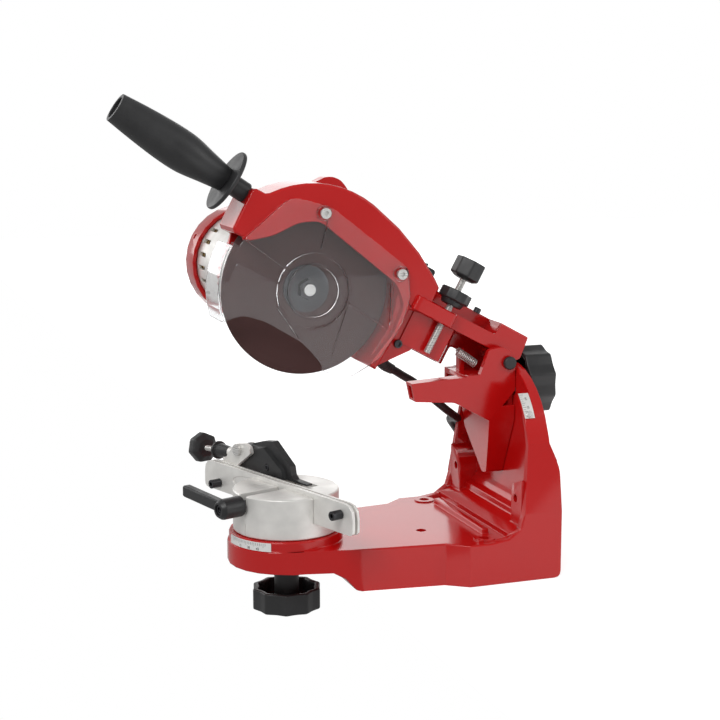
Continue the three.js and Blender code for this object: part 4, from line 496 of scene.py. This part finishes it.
def mains():
    """The mains cord from the column's clip, through its coil, to the plug."""
    coil = coil_route()
    first, last = coil[0], coil[-1]
    beside = first[1] - 2 * LEAD - FLOOR_GAP
    reach = [(first[0], beside - 4 * LEAD, first[2]), (first[0], beside, first[2])]
    tail = [
        (last[0] + COIL_TAIL * over, last[1] + COIL_TAIL * up, last[2] + (PLUG_HEIGHT - last[2]) * over)
        for over, up in TAIL_SHARES
    ]
    whole = smooth_path(out_of(COLUMN_CLIP, COLUMN_WAY) + MAINS + reach + coil + tail, CORD_STEPS)
    mesh = cable("cord", whole, LEAD, CORD_SIDES)
    made = piece("cord", mesh, "cable_rubber", "base", ["mains_cord", "cord_coil"], BASE)
    plug = rounded("plug_body", "black_plastic", PLUG_EDGE)
    pins = rounded("plug_pins", "brass", PIN_EDGE)


leads()
mains()


# Knobs and grips

KNOB_SHARP = 40


def lobed(count, depth, within=0):
    """Shallow hollows between narrow, rounded ridges; points nearer the axis than within stay round."""
    blunt = 0.12

    def wave(angle, radius):
        if radius < within:
            return radius
        place = 2 * (angle * count / FULL_TURN % 1) - 1
        from_ridge = math.sqrt((1 - abs(place)) ** 2 + blunt ** 2) - blunt
        return radius * (1 - depth * from_ridge * (2 - from_ridge))
    return wave


def big_knob(name, radius, length, hub, hub_length, turn, body, nodes):
    """A cup-shaped hand knob: lobed rim, recessed floor, hub. Open side up, floor at zero."""
    dish, dish_share, foot_share = 2.2, 0.5, 0.56
    wall_top, wall_foot, wall_foot_height, hub_foot = 4.5, 5, 5.5, 5
    around_hub, edge = 1, 1.6
    rim = softened([
        (0, dish), (radius * dish_share, dish), (radius * foot_share, 0), (radius, 0), (radius, length),
        (radius - wall_top, length), (radius - wall_foot, wall_foot_height), (hub, hub_foot),
        (hub, hub_length), (0, hub_length),
    ], edge)
    lobes = lobed(count=10, depth=0.075, within=hub + around_hub)
    mesh = turned(name, rim, sides=200, sharp=KNOB_SHARP, wave=lobes)
    piece(name, mesh, "black_plastic", body, nodes, turn)


def small_knob(name, radius, length, turn, body, nodes):
    """A solid lobed knob with a narrower foot at zero and a faint step on its face."""
    neck, foot, foot_height, edge = 6.5, 2, 2.5, 1.2
    face_rise, face_share, step_share = 0.2, 0.55, 0.6
    face = length + face_rise
    profile = softened([
        (0, face), (radius * face_share, face), (radius * step_share, length), (radius, length),
        (radius, foot_height), (neck + foot, 0), (0, 0),
    ], edge)
    mesh = turned(name, profile, sides=168, sharp=KNOB_SHARP, wave=lobed(count=7, depth=0.085, within=neck))
    piece(name, mesh, "black_plastic", body, nodes, turn)


def knobs():
    big_knob(
        "base_knob_form", radius=29.8, length=18.1, hub=10.5, hub_length=42.2,
        turn=BASE @ moved(0, 0, BASE_KNOB_FLOOR), body="base_knob", nodes=["base_lock_knob"],
    )
    big_knob(
        "tilt_knob_form", radius=30.7, length=25.1, hub=12, hub_length=31.8,
        turn=moved(TILT_KNOB_X, 0, TILT_BOLT_HEIGHT) @ about("Y", -90),
        body="tilt_knob", nodes=["tilt_lock_knob"],
    )
    small_knob(
        "depth_knob_form", radius=13.5, length=17.3,
        turn=HEAD @ moved(DEPTH_X, DEPTH_Y, DEPTH_KNOB_HEIGHT), body="depth_knob", nodes=["depth_knob"],
    )
    small_knob(
        "stop_knob_form", radius=13.8, length=10.8,
        turn=STOP @ moved(STOP_KNOB_FACE, 0, 0) @ about("Y", -90), body="stop_knob", nodes=["stop_knob"],
    )


def depth_nut():
    """A lobed disc with a round collar under it and a shallow recess over its bore."""
    low, high = 20.5, 34
    bore, collar, shoulder, rim = 4, 9, 10.5, 14
    shoulder_rise, rim_rise, edge = 4, 5, 1.0
    recess_radius, recess_foot, recess = 8.5, 8, 0.8
    profile = softened([
        (bore, low), (collar, low), (shoulder, low + shoulder_rise), (rim, low + rim_rise), (rim, high),
        (recess_radius, high), (recess_foot, high - recess), (bore, high - recess),
    ], edge)
    inside = (bore, low + rim_rise)
    lobes = lobed(count=10, depth=0.06, within=10.6)
    mesh = turned("depth_nut_form", [inside] + profile + [inside], sides=200, sharp=KNOB_SHARP, wave=lobes)
    turn = HEAD @ moved(DEPTH_X, DEPTH_Y, 0)
    piece("depth_nut_form", mesh, "black_plastic", "depth_nut", ["depth_lock_nut"], turn)


def threaded(name, radius, low, high, pitch, turn):
    """A steel rod with a thread cut along it, for the node and body of its name."""
    depth_share, rise_share, crest_share, fall_share = 0.55, 0.1, 0.45, 0.65
    root = radius - depth_share * pitch
    profile = [(0, low), (root, low)]
    for step in range(int((high - low) / pitch)):
        profile += [
            (root, low + pitch * (step + rise_share)), (radius, low + pitch * (step + crest_share)),
            (radius, low + pitch * (step + fall_share)),
        ]
    profile += [(root, high), (0, high)]
    piece(name + "_form", turned(name + "_form", profile, sides=28, sharp=50), "steel", name, [name], turn)


def rods():
    threaded("depth_rod", radius=3.15, low=-24.5, high=50, pitch=1.0, turn=HEAD @ moved(DEPTH_X, DEPTH_Y, 0))
    threaded("stop_rod", radius=2.5, low=-37, high=13, pitch=0.8, turn=STOP @ about("Y", 90))


def socket_screw(name, radius, height, body, turn):
    """The head of a socket screw, its underside at zero and its hexagon open upward."""
    hexagon = radius * 0.56
    sixth = math.radians(60)
    outer_step, outer_edge, edge = 0.15, 0.5, 0.5
    mouth_share, mouth_edge, floor_share = 1.12, 0.3, 0.35

    def wave(angle, reach):
        if reach > hexagon:
            return reach
        return reach * math.cos(sixth / 2) / math.cos(angle % sixth - sixth / 2)

    profile = [
        (0, 0), (radius, 0), (radius, height - edge), (radius - outer_step, height - outer_step),
        (radius - outer_edge, height), (hexagon * mouth_share, height), (hexagon, height - mouth_edge),
        (hexagon, height * floor_share), (0, height * floor_share),
    ]
    piece(name, turned(name, profile, sides=48, sharp=35, wave=wave), "dark_steel", body, (), turn)


def screws():
    """Screw heads too small for the frame, seated on the head's casting and in the pawl."""
    toward_front = about("X", 90)
    on_heel = HEAD @ moved(-94.7, -9.9, -28.8) @ toward_front
    in_pawl = VISE @ moved(-38.2, 8.7, 86.5) @ toward_front
    socket_screw("heel_screw", radius=3.6, height=2.4, body="head", turn=on_heel)
    socket_screw("arm_screw", radius=3.2, height=4.4, body="head", turn=HEAD @ moved(-31.6, 12.2, 27.6))
    socket_screw("pawl_screw", radius=3.0, height=1.4, body="pawl", turn=in_pawl)


def handle():
    """Hand guard with its neck, and the moulded grip, open at its end."""
    flat = HANDLE @ about("Y", -90)
    sides = 96
    bore, neck, foot, guard = 4.3, 8.5, 10, 26.5
    low, neck_top, guard_low, guard_high, edge = -1.1, 14, 16.5, 20, 1.5
    collar = softened([
        (bore, low), (neck, low), (neck, neck_top), (foot, guard_low), (guard, guard_low),
        (guard, guard_high), (foot, guard_high), (bore, guard_high),
    ], edge)
    mesh = turned("hand_guard_form", collar, sides, KNOB_SHARP)
    piece("hand_guard_form", mesh, "black_plastic", "head", ["handle_guard"], flat)
    start, length, belly, steps = 20.3, 104.7, 16.4, 8
    belly_shares = [(0, 0.62), (0.05, 0.67), (0.17, 0.8), (0.36, 1), (0.56, 1), (0.8, 0.88), (1, 0.74)]
    line = smooth_path([(belly * share, start + length * place, 0) for place, share in belly_shares], steps)
    outside = [(point.x, point.y) for point in line]
    end_radius, end, mouth, mouth_edge, mouth_floor = 9.6, 125.2, 9, 124.6, 109
    inside = [(end_radius, end), (mouth, mouth_edge), (mouth, mouth_floor), (bore, mouth_floor)]
    mesh = turned("grip_form", [(bore, start)] + outside + inside, sides, KNOB_SHARP)
    piece("grip_form", mesh, "black_plastic", "head", ["handle_grip"], flat)


def wheel():
    """The grinding disc, with a slightly rounded rim."""
    half, bore, face, rim, worn = 1.6, 11.1, 60, 72.5, 72.3
    profile = [
        (bore, -half), (face, -half), (rim - half, -half), (worn, -half / 2), (rim, 0), (worn, half / 2),
        (rim - half, half), (bore, half), (bore, -half),
    ]
    mesh = turned("wheel_form", profile, sides=160, sharp=30)
    piece("wheel_form", mesh, "abrasive", "wheel", ["grinding_wheel"], SPINDLE @ about("X", -90))


def spring():
    """A fine coil of wire from the post on the bracket to under the arm."""
    slope = math.radians(35)
    length, turns, steps = 21, 12, 20
    coil, wire, sides = 3.4, 0.55, 8
    post_x, post_y, post_height, gap = 155.5, 2, 186.3, 0.3
    along = Vector((math.cos(slope), 0, -math.sin(slope)))
    start = Vector((post_x, post_y - gap - coil - wire, post_height))
    across = Vector((0, 1, 0))
    side = along.cross(across).normalized()
    path = []
    for step in range(turns * steps + 1):
        angle = FULL_TURN * step / steps
        around = across * coil * math.cos(angle) + side * coil * math.sin(angle)
        path.append(start + along * length * step / (turns * steps) + around)
    mesh = cable("spring_form", path, wire, sides)
    made = piece("spring_form", mesh, "steel", None, ["return_spring"], BASE)
    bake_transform(made)


# Scales

MARK_WIDTH = 0.25


def lettering(text, size):
    """The flat mesh of a short text, centred on X."""
    curve = bpy.data.curves.new("lettering", "FONT")
    curve.body = text
    curve.size = size
    curve.align_x = "CENTER"
    made = bpy.data.objects.new("lettering", curve)
    bpy.context.scene.collection.objects.link(made)
    bpy.context.view_layer.update()
    mesh = bpy.data.meshes.new_from_object(made.evaluated_get(bpy.context.evaluated_depsgraph_get()))
    bpy.data.objects.remove(made)
    return mesh


def marks(name, radius, lines, texts, turn):
    """Printed marks on a round scale: lines (angle, low, high) and texts (angle, low, size, text)."""
    corners, faces = [], []
    half = MARK_WIDTH / 2

    def add(flat, angle, low):
        first = len(corners)
        for x, y in flat:
            around = math.radians(angle) + x / radius
            corners.append((radius * math.cos(around), radius * math.sin(around), low + y))
        return first

    for angle, low, high in lines:
        first = add([(-half, 0), (half, 0), (half, high - low), (-half, high - low)], angle, low)
        faces.append((first, first + 1, first + 2, first + 3))
    for angle, low, size, text in texts:
        mesh = lettering(text, size)
        first = add([(v.co.x, v.co.y) for v in mesh.vertices], angle, low)
        faces += [tuple(first + index for index in face.vertices) for face in mesh.polygons]
    mesh = bpy.data.meshes.new(name)
    mesh.from_pydata(corners, [], faces)
    piece(name, mesh, "ink", "base", (), turn)


def vise_scale():
    radius, first, apart, count, every = 49.34, -170, 2, 22, 5
    low, long_low, high = 40.2, 39.2, 42.4
    text_low, text_size = 36.5, 3
    lines = [(first + apart * step, low if step % every else long_low, high) for step in range(count)]
    numbers = ((-158, "15"), (-146.6, "30"), (-136, "45"))
    texts = [(angle, text_low, text_size, text) for angle, text in numbers]
    marks("vise_scale_marks", radius, lines, texts, BASE)


def tilt_scale():
    radius, first, apart, count, every = 76.74, 134.5, 1.5, 9, 2
    low, high, long_low, long_high = 0.6, 2.4, 0.4, 3.6
    text_low, text_size = 4.2, 2.8
    face_x, pivot_height = 57.3, 100
    lines = [
        (first + apart * step, *((low, high) if step % every else (long_low, long_high)))
        for step in range(count)
    ]
    texts = [(angle, text_low, text_size, text) for angle, text in ((137.5, "60"), (143.5, "50"))]
    arch = moved(face_x, 0, pivot_height) @ about("Y", 90) @ about("Z", 90)
    marks("tilt_scale_marks", radius, lines, texts, arch)


knobs()
depth_nut()
rods()
screws()
handle()
wheel()
spring()
vise_scale()
tilt_scale()

# Each node's finish and the width of its rounded edges
ROUNDED = {
    "base_casting": ("red_paint", 1.2), "tilt_bracket": ("red_paint", 0.6),
    "head_casting": ("red_paint", 0.8), "motor_cap": ("red_paint", 0.6), "motor_housing": ("silver", 0.4),
    "turntable": ("silver", 0.3), "rail_front": ("silver", 0.3), "rail_rear": ("silver", 0.3),
    "clamp_lever": ("black_plastic", 0.4), "stop_bracket": ("silver", 0.3),
    "stop_pawl": ("black_plastic", 0.4), "stop_lock_nut": ("black_plastic", 0.4),
    "switch_box": ("black_plastic", 0.4), "switch_rocker": ("black_plastic", 0.4),
    "clear_guard": ("clear", 0.3), "flange_nut": ("dark_steel", 0.3), "pin_cap": ("black_plastic", 0.4),
    "swing_pin": ("steel", 0.3), "bracket_lead_clip": ("black_plastic", 0.3),
    "column_lead_clip": ("black_plastic", 0.3), "guide_screw_left": ("dark_steel", 0.25),
    "guide_screw_right": ("dark_steel", 0.25), "clamp_screw": ("dark_steel", 0.25),
    "tilt_pivot_bolt": ("dark_steel", 0.3), "guard_screw_front": ("steel", 0.2),
    "guard_screw_back": ("steel", 0.2), "tilt_scale_screw": ("steel", 0.2), "handle_nut": ("copper", 0.3),
}
for node, (finish, width) in ROUNDED.items():
    rounded(node, finish, width)

slot_of = {row["node"]: row["material_slot"] for row in frame["record"]["subparts"]}
for node, made in NODES.items():
    made.data.materials.clear()
    made.data.materials.append(FINISH[slot_of[node]])
    made.data.shade_smooth()
    made.data.set_sharp_from_angle(angle=math.radians(NODE_SHARP))


# Studio

FLOOR_GLOW = 0.66
WORLD_LIGHT, WORLD_SEEN, WORLD_MIRRORED = 0.42, 1.0, 0.06
FLOOR = [(-0.085, -2, 0), (3, -2, 0), (3, 3, 0), (-0.085, 3, 0)]


def seen_by(tree, *rays):
    """A socket that is one where a ray of the named kinds comes in, and zero elsewhere."""
    light = tree.nodes.new("ShaderNodeLightPath")
    total = light.outputs[rays[0]]
    for ray in rays[1:]:
        more = tree.nodes.new("ShaderNodeMath")
        more.operation = "MAXIMUM"
        tree.links.new(total, more.inputs[0])
        tree.links.new(light.outputs[ray], more.inputs[1])
        total = more.outputs[0]
    return total


def from_to(tree, source, low, high):
    """A socket that goes from low to high as its source goes from zero to one."""
    made = tree.nodes.new("ShaderNodeMapRange")
    made.inputs["To Min"].default_value = low
    made.inputs["To Max"].default_value = high
    tree.links.new(source, made.inputs["Value"])
    return made.outputs["Result"]


def pale_floor():
    """White to the camera, in mirrors and through glass, with the object's shadow kept."""
    made, node = shader("floor", colour=(0.8, 0.8, 0.8), roughness=0.9)
    tree = made.node_tree
    glow = tree.nodes.new("ShaderNodeEmission")
    add = tree.nodes.new("ShaderNodeAddShader")
    seen = seen_by(tree, "Is Camera Ray", "Is Glossy Ray", "Is Transmission Ray")
    tree.links.new(from_to(tree, seen, 0, FLOOR_GLOW), glow.inputs["Strength"])
    tree.links.new(node.outputs[0], add.inputs[0])
    tree.links.new(glow.outputs[0], add.inputs[1])
    tree.links.new(add.outputs[0], tree.nodes["Material Output"].inputs["Surface"])
    return made


def floor():
    mesh = bpy.data.meshes.new("floor")
    mesh.from_pydata(FLOOR, [], [tuple(range(len(FLOOR)))])
    made = bpy.data.objects.new("floor", mesh)
    bpy.context.scene.collection.objects.link(made)
    made.data.materials.append(pale_floor())


def white_world():
    """White where the camera or glass looks at it, dimmer as light, and a little brighter in mirrors."""
    world = bpy.data.worlds.new("studio")
    bpy.context.scene.world = world
    world.use_nodes = True
    tree = world.node_tree
    back = tree.nodes["Background"]
    back.inputs["Color"].default_value = (1, 1, 1, 1)
    seen = seen_by(tree, "Is Camera Ray", "Is Transmission Ray")
    both = tree.nodes.new("ShaderNodeMath")
    both.operation = "ADD"
    tree.links.new(from_to(tree, seen, WORLD_LIGHT, WORLD_SEEN), both.inputs[0])
    tree.links.new(from_to(tree, seen_by(tree, "Is Glossy Ray"), 0, WORLD_MIRRORED), both.inputs[1])
    tree.links.new(both.outputs[0], back.inputs["Strength"])


def lamp(name, place, target, size, power):
    data = bpy.data.lights.new(name, "AREA")
    data.shape = "RECTANGLE"
    data.size, data.size_y = size
    data.energy = power
    made = bpy.data.objects.new(name, data)
    bpy.context.scene.collection.objects.link(made)
    made.location = place
    made.rotation_euler = (Vector(target) - Vector(place)).to_track_quat("-Z", "Y").to_euler()


white_world()
floor()
bpy.context.scene.view_settings.view_transform = "Standard"
lamp("key", place=(-1.1, -1.1, 1.5), target=(-0.1, 0, 0.15), size=(0.9, 0.9), power=18)
lamp("side", place=(1.3, -1.0, 0.8), target=(0, 0, 0.15), size=(0.5, 1.2), power=5)
lamp("back", place=(-1.5, 2.2, 0.9), target=(0, 0, 0.15), size=(1.8, 1.4), power=16)
lamp("far", place=(1.05, 2.3, 0.72), target=(0.05, 0, 0.05), size=(1.7, 1.3), power=9)
